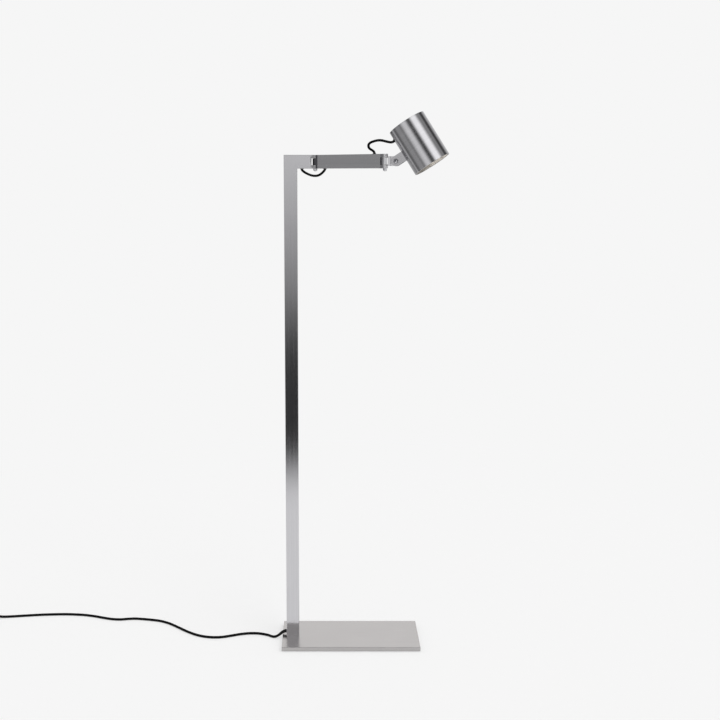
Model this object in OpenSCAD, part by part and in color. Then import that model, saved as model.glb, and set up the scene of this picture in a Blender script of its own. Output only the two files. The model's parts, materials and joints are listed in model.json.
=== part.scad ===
// Office floor lamp: a rectangular base plate, a bent rectangular-tube post,
// an arm on a vertical hinge, and a round spot head on a swivel and tilt bracket.
// Units are millimetres. +Z is up, X runs along the base, and -Y faces the viewer.
// The origin is the centre of the base on the floor.

/* [Base] */
// Width of the base plate along X
base_w = 325; // [260:1:380]
// Depth of the base plate along Y
base_d = 150; // [120:1:220]
// Thickness of the base plate
base_t = 10; // [6:1:16]
// Chamfer on the upper edges of the plate
base_edge = 0.8; // [0.3:0.1:3]
// Thickness of the rubber pad under the plate
pad_t = 1.5; // [1:0.5:4]

/* [Tube] */
// Visible width of the rectangular tube
tube_w = 30; // [24:1:40]
// Depth of the rectangular tube
tube_d = 12; // [12:1:20]
// Wall of the tube
tube_wall = 1.5; // [1:0.1:2]
// Rounding of the tube's corners
tube_r = 0.8; // [0.3:0.1:1.5]

/* [Post] */
// Height of the lamp's tube above the floor
lamp_h = 1144; // [900:1:1300]
// Distance from the base's left edge to the post
post_inset = 9.5; // [5:0.5:40]
// Length of the horizontal stub beyond the post
stub_out = 27.6; // [27:0.1:60]

/* [Arm] */
// Distance between the arm's two vertical hinge pins
arm_len = 205; // [170:1:300]
// Turn of the arm toward the viewer
arm_turn = 44; // [0:1:80]

/* [Hinges] */
// Distance from a tube's end to its hinge pin
hinge_reach = 12.6; // [12:0.1:16]
// Thickness of the end plug's visible flange
flange_t = 4.3; // [2:0.1:5]
// Thickness of each clevis ear
ear_t = 7.3; // [5:0.1:9]
// Diameter of the hinge screws
screw_d = 5; // [4:0.5:6]
// Distance of each cable grommet from the hinge pin
grommet_off = 30; // [30:0.5:45]

/* [Head] */
// Turn of the head bracket toward the viewer
bracket_turn = 14; // [0:1:80]
// Distance from the swivel pin to the tilt pin
bracket_len = 24; // [24:0.5:45]
// Height of the bracket's flat bar
bar_h = 20; // [16:1:26]
// Rise of the lug above level, which tilts the head
head_tilt = 33; // [-40:1:75]
// Outer radius of the shade
shade_r = 40.8; // [34:0.1:50]
// Wall of the shade
shade_wall = 1.5; // [1:0.1:2.5]
// Length of the shade above the tilt pin's level
shade_up = 55; // [53:0.5:70]
// Length of the shade below the tilt pin's level
shade_down = 47; // [46:0.5:70]
// Distance from the tilt pin to the shade
shade_gap = 19; // [19:0.5:30]

/* [Cords] */
// Diameter of the mains cord
cord_d = 6.2; // [5:0.1:7]
// Diameter of the thin cable along the arm
cable_d = 4.4; // [3:0.1:4.6]
// Height of the cord outlet above the floor
outlet_h = 19; // [18:0.5:40]

/* [Hidden] */
$fn = 64;
top_z = lamp_h;
mid_z = lamp_h - tube_w / 2;
plate_top = pad_t + base_t;
post_x = -base_w / 2 + post_inset + tube_w / 2;
post_left = post_x - tube_w / 2;
post_right = post_x + tube_w / 2;
stub_end = post_right + stub_out;
pin1_x = stub_end + hinge_reach;
in_w = tube_w - 2 * tube_wall;
in_d = tube_d - 2 * tube_wall;
ear_r = tube_d / 2;
flange_x = hinge_reach - flange_t;
gap_half = tube_w / 2 - ear_t;
plug_l = 12;
shaft_r = screw_d / 2 - 0.05;
bore_r = screw_d / 2;
arm_tube_len = arm_len - 2 * hinge_reach;
pin2 = [pin1_x + arm_len * cos(arm_turn), -arm_len * sin(arm_turn), mid_z];
tilt = [pin2[0] + bracket_len * cos(bracket_turn),
        pin2[1] - bracket_len * sin(bracket_turn), mid_z];
shade_x = shade_gap + shade_r;
shade_in = shade_r - shade_wall;
cord_r = cord_d / 2;
cable_r = cable_d / 2;
fork_r = 10.5;
cheek_in = 2.9;
cable_up = 37.5;
switch_x = -947;
switch_y = 116;
switch_z = 8;
coil_turns = 3;
coil_out = 7.5 * cord_d;
coil_step = 1.25 * cord_d;
coil_rise = 1.18 * cord_d;
tie_t = 0.7;
coil_x = -1036;
coil_y = switch_y - coil_out;
coil_z = cord_r + tie_t + 0.1;
plug_y = coil_y - coil_out;
plug_z = 7;

// colours of the materials
steel = [0.74, 0.74, 0.76];
bright = [0.82, 0.82, 0.84];
black = [0.07, 0.07, 0.07];
white = [0.93, 0.92, 0.89];
brass = [0.72, 0.62, 0.35];

// the mains cord's route: out of the post, over the base's edge and along the floor,
// where a height of 0 stands for the height at which the cord lies
cord_route = [
    [-155.5, 0, 19], [-159, -0.2, 18.2], [-162, -0.5, 16.7],
    [-165, -0.9, 14.8], [-168, -1.3, 12.5], [-173, -1.6, 8.6], [-178.5, -1, 5.4],
    [-185, 1, 3.5], [-192, 5.5, 0], [-200, 11.5, 0],
    [-220, 19.5, 0], [-242, 21, 0], [-264, 16.5, 0],
    [-286, 8, 0], [-308, 0, 0], [-329, -2, 0],
    [-351, 2, 0], [-373, 12.5, 0], [-397, 31, 0],
    [-421, 54, 0], [-446, 77, 0], [-470, 92, 0],
    [-494, 99.5, 0], [-516, 104, 0], [-536, 107, 0],
    [-555, 105.5, 0], [-574, 102, 0], [-597, 105, 0],
    [-620, 113, 0], [-640, 121, 0], [-660, 127, 0],
    [-680, 131, 0], [-715, 134, 0], [-750, 133, 0],
    [-785, 130, 0], [-820, 125, 0], [-850, 120.5, 0],
    [-873, 117, 3.9], [-885, 116.2, 6.4], [-896, 116, 8]
];

// the lead from the switch down into the coil, from the switch's own place
coil_route = [
    [-51, 0, 8], [-57, 0, 7.2], [-64, 0, 5.7], [-71, 0, 4.4], [-78, 0, 3.9]
];

// the lead from the coil to the plug, from the coil's middle along X and the plug's own Y
lead_route = [
    [10, 0, 11.2], [16, 0, 11], [23, 0, 9.8], [30, 0, 8.4], [36, 0, 7.3], [42, 0, 7]
];

// the cable loop under the first hinge, from grommet to grommet
loop1 = [
    [0, -1.6], [1, -3.6], [4, -6.2], [9.4, -9.4], [16.6, -12.7],
    [24.6, -15.1], [32.8, -15.9], [41, -14.3], [47.6, -10.5], [52.2, -6.2],
    [54.8, -3.3], [55.6, -1.6]
];

// the cable loop above the second hinge, from the arm to the shade
loop2 = [
    [0, 1.6], [-1, 4.4], [-4.4, 7.2], [-9, 9.6], [-13, 12.2],
    [-15.4, 16], [-15, 20.2], [-12, 23.4], [-7, 25.6], [-1, 27.2],
    [6, 28.6], [14, 29], [22, 28], [30, 26.2], [38, 24.7],
    [43, 24.4], [46.6, 25.1]
];

// --- vectors and swept tubes ---

function unit(v) = v / norm(v);

// a point of a smooth curve between p1 and p2
function curve_at(p0, p1, p2, p3, t) =
    0.5 * (2 * p1 + (p2 - p0) * t + (2 * p0 - 5 * p1 + 4 * p2 - p3) * t * t
    + (3 * p1 - p0 - 3 * p2 + p3) * t * t * t);

// a smooth curve through the points, with n steps in each span
function smooth(p, n) = [
    for (i = [0:len(p) - 2])
        for (k = [0:n - 1])
            curve_at(p[max(i - 1, 0)], p[i], p[i + 1], p[min(i + 2, len(p) - 1)], k / n),
    p[len(p) - 1]
];

function along(p, i) = unit(p[min(i + 1, len(p) - 1)] - p[max(i - 1, 0)]);

function ring(p, i, r, sides, ref) =
    let (t = along(p, i), u = unit(cross(t, ref)), v = cross(t, u))
    [for (k = [0:sides - 1])
        p[i] + r * (cos(360 * (k + 0.5) / sides) * u + sin(360 * (k + 0.5) / sides) * v)];

function path_len(p) =
    [for (i = [1:len(p) - 1]) norm(p[i] - p[i - 1])] * [for (i = [1:len(p) - 1]) 1];

// a smooth curve between two straight ends
function held(from, p, to) = concat([from], smooth(p, 2), [to]);

// the points moved by an offset, and raised to at least the height at which the cord lies
function lying(p, by) = [for (q = p) [q[0] + by[0], q[1] + by[1], max(q[2], cord_r)]];

// one closed tube along the points
module swept(p, r, sides, ref) {
    swept_part(p, 0, len(p) - 1, r, r, sides, ref);
}

// the stretch of it from one point to another, whose radius runs evenly from ra to rb
module swept_part(p, from, to, ra, rb, sides, ref) {
    n = to - from + 1;
    pts = [for (i = [0:n - 1])
        each ring(p, from + i, ra + (rb - ra) * i / (n - 1), sides, ref)];
    sidesf = [for (i = [0:n - 2])
        for (k = [0:sides - 1])
            let (a = i * sides + k, b = i * sides + (k + 1) % sides, c = b + sides, d = a + sides)
            each [[a, d, c], [a, c, b]]];
    first = [for (k = [1:sides - 2]) [0, k, k + 1]];
    m = (n - 1) * sides;
    last = [for (k = [1:sides - 2]) [m, m + k + 1, m + k]];
    polyhedron(points = pts, faces = concat(sidesf, first, last), convexity = 10);
}

// --- shared shapes ---

// the outline of a bar or tube, with rounded corners
module section(w, d, r) {
    square([w - 2 * r, d], center = true);
    square([w, d - 2 * r], center = true);
    for (sx = [-1, 1])
        for (sy = [-1, 1])
            translate([sx * (w / 2 - r), sy * (d / 2 - r)])
                circle(r);
}

// a rectangular tube along +X from the origin, with tube_w upright
module tube_x(len) {
    rotate([90, 0, 90])
        difference() {
            linear_extrude(len)
                rotate(90)
                    section(tube_w, tube_d, tube_r);
            translate([0, 0, -1])
                linear_extrude(len + 2)
                    rotate(90)
                        section(in_w, in_d, 0.3);
        }
}

// the end plug that both hinge halves share: it enters the tube toward -X
module end_plug() {
    rotate([90, 0, 90]) {
        translate([0, 0, -hinge_reach])
            linear_extrude(flange_t)
                rotate(90)
                    section(tube_w, tube_d, tube_r);
        translate([0, 0, -hinge_reach - plug_l])
            linear_extrude(plug_l)
                rotate(90)
                    section(in_w - 0.2, in_d - 0.2, 0.3);
    }
}

// the forked half of a vertical hinge, with its pin on the Z axis
module clevis() {
    difference() {
        union() {
            end_plug();
            for (s = [-1, 1])
                translate([0, 0, s * (gap_half + ear_t / 2)]) {
                    cylinder(h = ear_t, r = ear_r, center = true);
                    translate([-flange_x / 2, 0, 0])
                        cube([flange_x, tube_d, ear_t], center = true);
                }
        }
        cylinder(h = tube_w + 4, r = bore_r, center = true);
        translate([0, 0, tube_w / 2 - 2.8])
            cylinder(h = 2.81, r1 = bore_r, r2 = 4.75);
    }
}

// the tongued half of a vertical hinge, with its tube toward +X
module tongue() {
    difference() {
        union() {
            rotate([0, 0, 180])
                end_plug();
            cylinder(h = 2 * gap_half - 1.1, r = ear_r, center = true);
            translate([flange_x / 2, 0, 0])
                cube([flange_x, tube_d, 2 * gap_half - 1.1], center = true);
        }
        cylinder(h = tube_w + 4, r = bore_r, center = true);
    }
}

// two thin friction washers between the tongue and the ears
module washers() {
    for (s = [-1, 1])
        translate([0, 0, s * (gap_half - 0.27)])
            difference() {
                cylinder(h = 0.46, r = ear_r - 0.3, center = true);
                cylinder(h = 2, r = bore_r + 0.1, center = true);
            }
}

// a countersunk socket screw, flush with the upper ear
module pin_screw() {
    difference() {
        union() {
            translate([0, 0, -tube_w / 2 - 5.9])
                cylinder(h = tube_w + 3.2, r = shaft_r);
            translate([0, 0, tube_w / 2 - 2.7])
                cylinder(h = 2.65, r1 = shaft_r, r2 = 4.6);
        }
        translate([0, 0, tube_w / 2 - 2.2])
            cylinder(h = 4, r = 1.75, $fn = 6);
    }
}

// a lock nut of 8 mm across its flats, with its face at the origin, upward to -Z
module lock_nut() {
    difference() {
        union() {
            translate([0, 0, -4])
                cylinder(h = 4, r = 4.62, $fn = 6);
            translate([0, 0, -5])
                cylinder(h = 1.01, r1 = 3.4, r2 = 4);
        }
        translate([0, 0, -6])
            cylinder(h = 8, r = bore_r);
    }
}

// a rubber grommet in the lower wall of a tube, with the wall's outer face at z = 0
module grommet(wall) {
    difference() {
        union() {
            translate([0, 0, -1.2])
                cylinder(h = 1.2, r1 = 3.7, r2 = 4.3);
            cylinder(h = wall, r = 3.2);
            translate([0, 0, wall])
                cylinder(h = 0.9, r = 3.9);
        }
        translate([0, 0, -2])
            cylinder(h = wall + 4, r = cable_r + 0.1);
    }
}

// --- placing ---

module at_pin1() {
    translate([pin1_x, 0, mid_z])
        children();
}

module at_arm() {
    translate([pin1_x, 0, mid_z])
        rotate([0, 0, -arm_turn])
            children();
}

module at_pin2_arm() {
    translate(pin2)
        rotate([0, 0, -arm_turn])
            children();
}

module at_bracket() {
    translate(pin2)
        rotate([0, 0, -bracket_turn])
            children();
}

module at_tilt() {
    translate(tilt)
        rotate([0, 0, -bracket_turn])
            children();
}

// x points at the shade, and z runs up along the shade
module at_head() {
    at_tilt()
        rotate([0, -head_tilt, 0])
            children();
}

module at_shade() {
    at_head()
        translate([shade_x, 0, 0])
            children();
}

// the same places as points, for the cable between the arm and the shade
up_u = [cos(bracket_turn) * cos(head_tilt), -sin(bracket_turn) * cos(head_tilt), sin(head_tilt)];
up_v = [-cos(bracket_turn) * sin(head_tilt), sin(bracket_turn) * sin(head_tilt), cos(head_tilt)];
loop2_from = [pin1_x + (arm_len - grommet_off) * cos(arm_turn),
              -(arm_len - grommet_off) * sin(arm_turn), top_z];
loop2_to = tilt + up_u * shade_gap + up_v * cable_up;
loop2_flat = [loop2_to[0] - loop2_from[0], loop2_to[1] - loop2_from[1], 0];
loop2_dir = unit(loop2_flat);
loop2_wide = norm(loop2_flat) / 51;
loop2_high = (loop2_to[2] - loop2_from[2]) / 27.6;
loop2_mid = [for (q = loop2)
    loop2_from + loop2_dir * q[0] * loop2_wide + [0, 0, q[1] * loop2_high]];
loop2_pts = held(loop2_from, concat(loop2_mid, [loop2_to - up_u * 1.6]), loop2_to);
loop2_ref = cross(loop2_dir, [0, 0, 1]);
loop2_cut = 25;

loop1_len = 2 * grommet_off * cos(arm_turn / 2);
loop1_from = [pin1_x - grommet_off, 0, top_z - tube_w];
loop1_dir = [cos(arm_turn / 2), -sin(arm_turn / 2), 0];
loop1_pts = held(loop1_from, [for (q = loop1)
    loop1_from + loop1_dir * q[0] * loop1_len / 55.6 + [0, 0, q[1]]],
    loop1_from + loop1_dir * loop1_len);
loop1_ref = cross(loop1_dir, [0, 0, 1]);

// --- base and post ---

module base_pad() {
    color(black)
        linear_extrude(pad_t)
            section(base_w - 8, base_d - 8, 3);
}

module foot_screw_places() {
    for (x = [post_x - 8, post_x + 8])
        translate([x, 0, 0])
            children();
}

module base_plate() {
    color(steel)
        difference() {
            translate([0, 0, pad_t])
                linear_extrude(base_t)
                    section(base_w, base_d, 0.8);
            for (s = [-1, 1]) {
                translate([s * base_w / 2, 0, plate_top])
                    rotate([0, 45, 0])
                        cube([base_edge * 1.414, base_d + 2, base_edge * 1.414], center = true);
                translate([0, s * base_d / 2, plate_top])
                    rotate([45, 0, 0])
                        cube([base_w + 2, base_edge * 1.414, base_edge * 1.414], center = true);
            }
            translate([post_x, 0, pad_t + base_t / 2])
                linear_extrude(base_t)
                    section(in_w + 0.1, in_d + 0.1, 0.3);
            foot_screw_places() {
                cylinder(h = 20, r = 2.7);
                translate([0, 0, pad_t - 0.01])
                    cylinder(h = 2.6, r1 = 4.8, r2 = 2.7);
            }
        }
}

// the block that closes the post's foot, relieved on the left for the cable
module foot_block() {
    color(steel)
        difference() {
            translate([post_x, 0, pad_t + base_t / 2])
                linear_extrude(45)
                    section(in_w - 0.1, in_d - 0.1, 0.3);
            translate([post_x - 18.5, -10, outlet_h - 4.4])
                cube([17.5, 20, 60]);
            foot_screw_places()
                cylinder(h = 30, r = 2.5);
        }
}

module base_screws() {
    color(steel)
        foot_screw_places()
            difference() {
                union() {
                    translate([0, 0, pad_t])
                        cylinder(h = 12.4, r = 2.45);
                    translate([0, 0, pad_t + 0.05])
                        cylinder(h = 2.4, r1 = 4.65, r2 = 2.45);
                }
                translate([0, 0, pad_t - 0.1])
                    cylinder(h = 2, r = 1.75, $fn = 6);
            }
}

// everything on the right of, or below, the mitre between post and stub
module mitre_cut() {
    translate([post_left, 0, top_z])
        rotate([0, 45, 0])
            translate([0, -50, 0])
                cube([200, 100, 200]);
}

module post_tube() {
    color(steel)
        difference() {
            translate([post_x, 0, plate_top])
                linear_extrude(top_z - plate_top)
                    difference() {
                        section(tube_w, tube_d, tube_r);
                        section(in_w, in_d, 0.3);
                    }
            mitre_cut();
            translate([post_left - 1, 0, outlet_h])
                rotate([0, 90, 0])
                    cylinder(h = 5, r = 3.9);
        }
}

module stub_tube() {
    color(steel)
        difference() {
            intersection() {
                translate([post_left, 0, mid_z])
                    tube_x(stub_end - post_left);
                mitre_cut();
            }
            translate([pin1_x - grommet_off, 0, top_z - tube_w - 1])
                cylinder(h = 4, r = 3.3);
        }
}

module stub_clevis() {
    color(steel)
        at_pin1()
            clevis();
}

module stub_screw() {
    color(bright)
        at_pin1()
            pin_screw();
}

module stub_nut() {
    color(bright)
        at_pin1()
            translate([0, 0, -tube_w / 2])
                lock_nut();
}

module stub_washers() {
    color(white)
        at_pin1()
            washers();
}

module stub_grommet() {
    color(black)
        translate(loop1_from)
            grommet(tube_wall);
}

// the bush that holds the cord in the post's left wall
module cord_gland() {
    color(black)
        translate([post_left, 0, outlet_h])
            rotate([0, 90, 0])
                difference() {
                    union() {
                        cylinder(h = 4, r = 3.8);
                        translate([0, 0, tube_wall])
                            cylinder(h = 1.4, r = 4.2);
                    }
                    translate([0, 0, -1])
                        cylinder(h = 7, r = cable_r + 0.1);
                }
}

module cord_relief() {
    color(black)
        swept_part(mains_pts, 0, relief_cut, 4.2, cord_r + 0.3, 10, [0, 1, 0]);
}

module post_cable() {
    color(black)
        swept(held([post_left, 0, outlet_h], [[post_left + 4.2, 0, outlet_h],
            [post_left + 8, 0, outlet_h + 3], [post_left + 9.4, 0, outlet_h + 8],
            [post_left + 9.2, 0, 45], [post_left + 8.4, 0, 70], [post_x, 0, 120],
            [post_x, 0, 400], [post_x, 0, 800], [post_x, 0, top_z - 60],
            [post_x - 2, 0, top_z - 36], [post_x + 2, 0, top_z - 20],
            [post_x + 11, 0, top_z - 12], [loop1_from[0] - 6, 0, top_z - 13],
            [loop1_from[0] - 0.8, 0, top_z - 20], [loop1_from[0], 0, top_z - 26]],
            loop1_from), cable_r, 8, [0, 1, 0]);
}

module elbow_cable() {
    color(black)
        swept(loop1_pts, cable_r, 8, loop1_ref);
}

// --- arm ---

module arm_tongue() {
    color(steel)
        at_arm()
            tongue();
}

module arm_tube() {
    color(steel)
        at_arm()
            difference() {
                translate([hinge_reach, 0, 0])
                    tube_x(arm_tube_len);
                translate([grommet_off, 0, -tube_w / 2 - 1])
                    cylinder(h = 4, r = 3.3);
                translate([arm_len - grommet_off, 0, tube_w / 2 - 3])
                    cylinder(h = 4, r = 3.3);
            }
}

module arm_clevis() {
    color(steel)
        at_pin2_arm()
            clevis();
}

module arm_screw() {
    color(bright)
        at_pin2_arm()
            pin_screw();
}

module arm_nut() {
    color(bright)
        at_pin2_arm()
            translate([0, 0, -tube_w / 2])
                lock_nut();
}

module arm_washers() {
    color(white)
        at_pin2_arm()
            washers();
}

module arm_grommets() {
    color(black)
        at_arm() {
            translate([grommet_off, 0, -tube_w / 2])
                grommet(tube_wall);
            translate([arm_len - grommet_off, 0, tube_w / 2])
                rotate([180, 0, 0])
                    grommet(tube_wall);
        }
}

module arm_cable() {
    color(black)
        at_arm()
            swept(held([grommet_off, 0, -tube_w / 2], [
                [grommet_off, 0, -tube_w / 2 + 3], [grommet_off + 0.5, 0, -8],
                [grommet_off + 4, 0, -3], [grommet_off + 12, 0, 0],
                [80, 0, 0], [140, 0, 0], [arm_len - grommet_off - 12, 0, 0],
                [arm_len - grommet_off - 4, 0, 3], [arm_len - grommet_off - 0.5, 0, 8],
                [arm_len - grommet_off, 0, tube_w / 2 - 3]],
                [arm_len - grommet_off, 0, tube_w / 2]), cable_r, 8, [0, 1, 0]);
}

module head_cable_lower() {
    color(black)
        swept_part(loop2_pts, 0, loop2_cut, cable_r, cable_r, 8, loop2_ref);
}

// --- bracket ---

module bracket_bar() {
    color(steel)
        at_bracket()
            difference() {
                union() {
                    cylinder(h = 2 * gap_half - 1.1, r = ear_r, center = true);
                    translate([4, 0, 0])
                        cube([8, tube_d, 2 * gap_half - 1.1], center = true);
                    translate([(ear_r + 1 + bracket_len - fork_r - 0.6) / 2, 0, 0])
                        cube([bracket_len - fork_r - 0.6 - ear_r - 1, tube_d, bar_h],
                            center = true);
                    translate([bracket_len - 7, 0, 0])
                        cube([14, 2 * cheek_in - 0.2, bar_h], center = true);
                    translate([bracket_len, 0, 0])
                        rotate([90, 0, 0])
                            cylinder(h = 2 * cheek_in - 0.2, r = bar_h / 2, center = true);
                }
                cylinder(h = 40, r = bore_r, center = true);
                translate([bracket_len, 0, 0])
                    rotate([90, 0, 0])
                        cylinder(h = 20, r = bore_r, center = true);
            }
}

// --- head ---

module head_lug() {
    color(steel)
        at_head()
            difference() {
                union() {
                    for (s = [-1, 1])
                        translate([0, s * (cheek_in + ear_r) / 2, 0]) {
                            rotate([90, 0, 0])
                                cylinder(h = ear_r - cheek_in, r = fork_r, center = true);
                            translate([6.5, 0, 0])
                                cube([13, ear_r - cheek_in, 2 * fork_r], center = true);
                        }
                    translate([17, 0, 0])
                        cube([10, tube_d, 2 * fork_r], center = true);
                }
                rotate([90, 0, 0])
                    cylinder(h = 40, r = bore_r, center = true);
                translate([shade_x, 0, 0])
                    cylinder(h = 60, r = shade_r, center = true);
                lug_screw_places()
                    translate([-9, 0, 0])
                        rotate([0, 90, 0])
                            cylinder(h = 12, r = 2);
            }
}

// the two screws' heads bear on the inside of the shade's wall
module lug_screw_places() {
    for (z = [-5.5, 5.5])
        translate([shade_gap + shade_wall + 0.2, 0, z])
            children();
}

module lug_screws() {
    color(bright)
        at_head()
            lug_screw_places() {
                translate([-8.5, 0, 0])
                    rotate([0, 90, 0])
                        cylinder(h = 8.6, r = 1.95);
                rotate([0, 90, 0])
                    difference() {
                        cylinder(h = 2.4, r = 3.6);
                        translate([0, 0, 1.2])
                            cylinder(h = 3, r = 1.5, $fn = 6);
                    }
            }
}

module tilt_screw() {
    color(bright)
        at_head()
            rotate([90, 0, 0])
                difference() {
                    union() {
                        translate([0, 0, -ear_r - 5.6])
                            cylinder(h = 2 * ear_r + 5.7, r = shaft_r);
                        translate([0, 0, ear_r + 0.02])
                            cylinder(h = 1, r = 5.2);
                        translate([0, 0, ear_r + 1])
                            cylinder(h = 2.8, r1 = 4.6, r2 = 3.2);
                    }
                    translate([0, 0, ear_r + 1.6])
                        cylinder(h = 4, r = 1.75, $fn = 6);
                }
}

module tilt_nut() {
    color(bright)
        at_head()
            rotate([90, 0, 0])
                translate([0, 0, -ear_r])
                    lock_nut();
}

module shade_tube() {
    color(bright)
        at_shade()
            difference() {
                translate([0, 0, -shade_down])
                    cylinder(h = shade_up + shade_down, r = shade_r, $fn = 128);
                translate([0, 0, -shade_down - 1])
                    cylinder(h = shade_up + shade_down + 2, r = shade_in, $fn = 128);
                for (z = [-5.5, 5.5])
                    translate([-shade_r - 2, 0, z])
                        rotate([0, 90, 0])
                            cylinder(h = 6, r = 2.05);
                translate([-shade_r - 2, 0, cable_up])
                    rotate([0, 90, 0])
                        cylinder(h = 6, r = 3.3);
            }
}

module shade_cap() {
    color(bright)
        at_shade()
            translate([0, 0, shade_up - 3.3])
                cylinder(h = 3, r = shade_in - 0.05, $fn = 128);
}

module holder_spacers() {
    color(steel)
        at_shade()
            for (s = [-1, 1])
                translate([0, s * 9, 41.5])
                    cylinder(h = shade_up - 3.3 - 41.5, r = 2.5);
}

module lamp_holder() {
    color(white)
        at_shade()
            difference() {
                union() {
                    translate([0, 0, 21.5])
                        cylinder(h = 16, r = 14);
                    translate([0, 0, 37.5])
                        cylinder(h = 4, r = 12.5);
                }
                for (s = [-1, 1])
                    translate([s * 5, 0, 20])
                        cylinder(h = 12, r = 2.8);
            }
}

module bulb_body() {
    color(white)
        at_shade()
            rotate_extrude($fn = 96)
                polygon([[0, 21.4], [9, 21.4], [9, 15], [11.5, 12], [14, 7], [17, 0], [20, -8],
                    [22.6, -15], [24.4, -21], [25, -22], [25, -25.2], [23.9, -25.2],
                    [23.9, -23], [0, -23]]);
}

module bulb_pins() {
    color(brass)
        at_shade()
            for (s = [-1, 1])
                translate([s * 5, 0, 21.4])
                    union() {
                        cylinder(h = 5, r = 1.3);
                        translate([0, 0, 4])
                            cylinder(h = 2.6, r = 2.4);
                    }
}

module bulb_lens() {
    color([0.95, 0.93, 0.85])
        at_shade()
            translate([0, 0, -24.9])
                cylinder(h = 1.9, r = 23.85, $fn = 96);
}

// the bright cone between the bulb and the shade's rim
module front_reflector() {
    color(bright)
        at_shade()
            rotate_extrude($fn = 128)
                polygon([[23.4, -25.3], [23.4, -26.2], [25.4, -26.2], [shade_in - 1.2, -45.6],
                    [shade_in - 0.05, -45.6], [shade_in - 0.05, -44.2],
                    [shade_in - 0.6, -44.2], [26.3, -25.3]]);
}

module shade_grommet() {
    color(black)
        at_head()
            difference() {
                translate([shade_gap, 0, cable_up])
                    rotate([0, 90, 0])
                        translate([0, 0, -1.2]) {
                            cylinder(h = 2, r1 = 3.7, r2 = 4.4);
                            cylinder(h = 5, r = 3.2);
                        }
                translate([shade_gap - 5, 0, cable_up])
                    rotate([0, 90, 0])
                        cylinder(h = 12, r = cable_r + 0.1);
                translate([shade_x, 0, 0])
                    difference() {
                        cylinder(h = 120, r = shade_r + 0.02, center = true);
                        translate([-shade_r - 4, 0, cable_up])
                            rotate([0, 90, 0])
                                cylinder(h = 12, r = 3.25);
                    }
            }
}

module head_cable_upper() {
    color(black)
        swept_part(loop2_pts, loop2_cut, len(loop2_pts) - 1, cable_r, cable_r, 8, loop2_ref);
}

module shade_cable() {
    color(black)
        at_head()
            swept(held([shade_gap, 0, cable_up], [[shade_gap + 5, 0, cable_up],
                [shade_gap + 12, 0, cable_up - 1], [shade_gap + 19, 0, cable_up - 3],
                [shade_x - 17, 0, cable_up - 3.5]], [shade_x - 14.1, 0, cable_up - 3.5]),
                cable_r, 8, [0, 1, 0]);
}

// --- mains cord, switch, coil and plug ---

mains_pts = held([post_left, 0, outlet_h], lying(cord_route, [0, 0]),
    [switch_x + 47, switch_y, switch_z]);
relief_cut = 10;

module mains_cord() {
    color(black)
        swept_part(mains_pts, relief_cut, len(mains_pts) - 1, cord_r, cord_r, 10, [0, 0, 1]);
}

// the switch lies on the floor along X, with the cord's axis at switch_z
module at_switch() {
    translate([switch_x, switch_y, 0])
        children();
}

module switch_screw_places() {
    for (s = [-1, 1])
        translate([s * 20, s * 8.2, 0])
            children();
}

module switch_base() {
    color(black)
        at_switch()
            difference() {
                union() {
                    difference() {
                        linear_extrude(switch_z)
                            section(54, 26, 4);
                        translate([0, 0, 1.8])
                            linear_extrude(20)
                                section(48, 21, 2);
                    }
                    switch_screw_places()
                        cylinder(h = switch_z, r = 3);
                }
                translate([-40, 0, switch_z])
                    rotate([0, 90, 0])
                        cylinder(h = 80, r = 3.4);
                switch_screw_places() {
                    translate([0, 0, -1])
                        cylinder(h = 20, r = 1.3);
                    translate([0, 0, -1])
                        cylinder(h = 3, r = 2.4);
                }
            }
}

module switch_cover() {
    color(black)
        at_switch()
            difference() {
                union() {
                    difference() {
                        translate([0, 0, switch_z])
                            linear_extrude(8)
                                section(54, 26, 4);
                        translate([0, 0, switch_z - 1])
                            linear_extrude(7.2)
                                section(48, 21, 2);
                    }
                    switch_screw_places()
                        translate([0, 0, switch_z])
                            cylinder(h = 7, r = 3);
                    for (s = [-1, 1])
                        translate([0, s * 8.4, 12])
                            cube([7, 4.6, 6.5], center = true);
                }
                translate([0, 0, 16])
                    cube([20.6, 12, 10], center = true);
                translate([-40, 0, switch_z])
                    rotate([0, 90, 0])
                        cylinder(h = 80, r = 3.4);
                translate([0, 0, 11.4])
                    rotate([90, 0, 0])
                        cylinder(h = 18.4, r = 1.66, center = true);
                switch_screw_places()
                    cylinder(h = 13, r = 1.2);
            }
}

module switch_screws() {
    color(steel)
        at_switch()
            switch_screw_places() {
                translate([0, 0, 0.2])
                    cylinder(h = 1.7, r = 2.3);
                translate([0, 0, 0.2])
                    cylinder(h = 12, r = 1.15);
            }
}

module switch_reliefs() {
    color(black)
        at_switch()
            for (s = [0, 180])
                rotate([0, 0, s])
                    translate([22.6, 0, switch_z])
                        rotate([0, 90, 0]) {
                            cylinder(h = 4.4, r = 3.35);
                            translate([0, 0, 4.4])
                                cylinder(h = 20, r1 = 4.4, r2 = cord_r + 0.3);
                        }
}

module switch_rocker() {
    color([0.12, 0.12, 0.12])
        at_switch()
            translate([0, 0, 11.4])
                rotate([90, -8, 0]) {
                    linear_extrude(11.2, center = true)
                        polygon([[-9.2, 0.6], [-9.2, 4.6], [0, 3.4], [9.2, 4.6], [9.2, 0.6],
                            [3, -1.9], [-3, -1.9]]);
                    cylinder(h = 17.8, r = 1.6, center = true);
                }
}

// three loops in, a climb through half a turn, and three loops out

function coil_radius(a) =
    a < 360 * coil_turns ? coil_out - coil_step * a / 360
    : a < 360 * coil_turns + 180 ? coil_out - coil_step * coil_turns
    : coil_out - coil_step * coil_turns + coil_step * (a - 360 * coil_turns - 180) / 360;

function coil_height(a) =
    let (f = max(0, min(1, (a - 360 * coil_turns) / 180)))
    coil_z + coil_rise * f * f * (3 - 2 * f);

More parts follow.
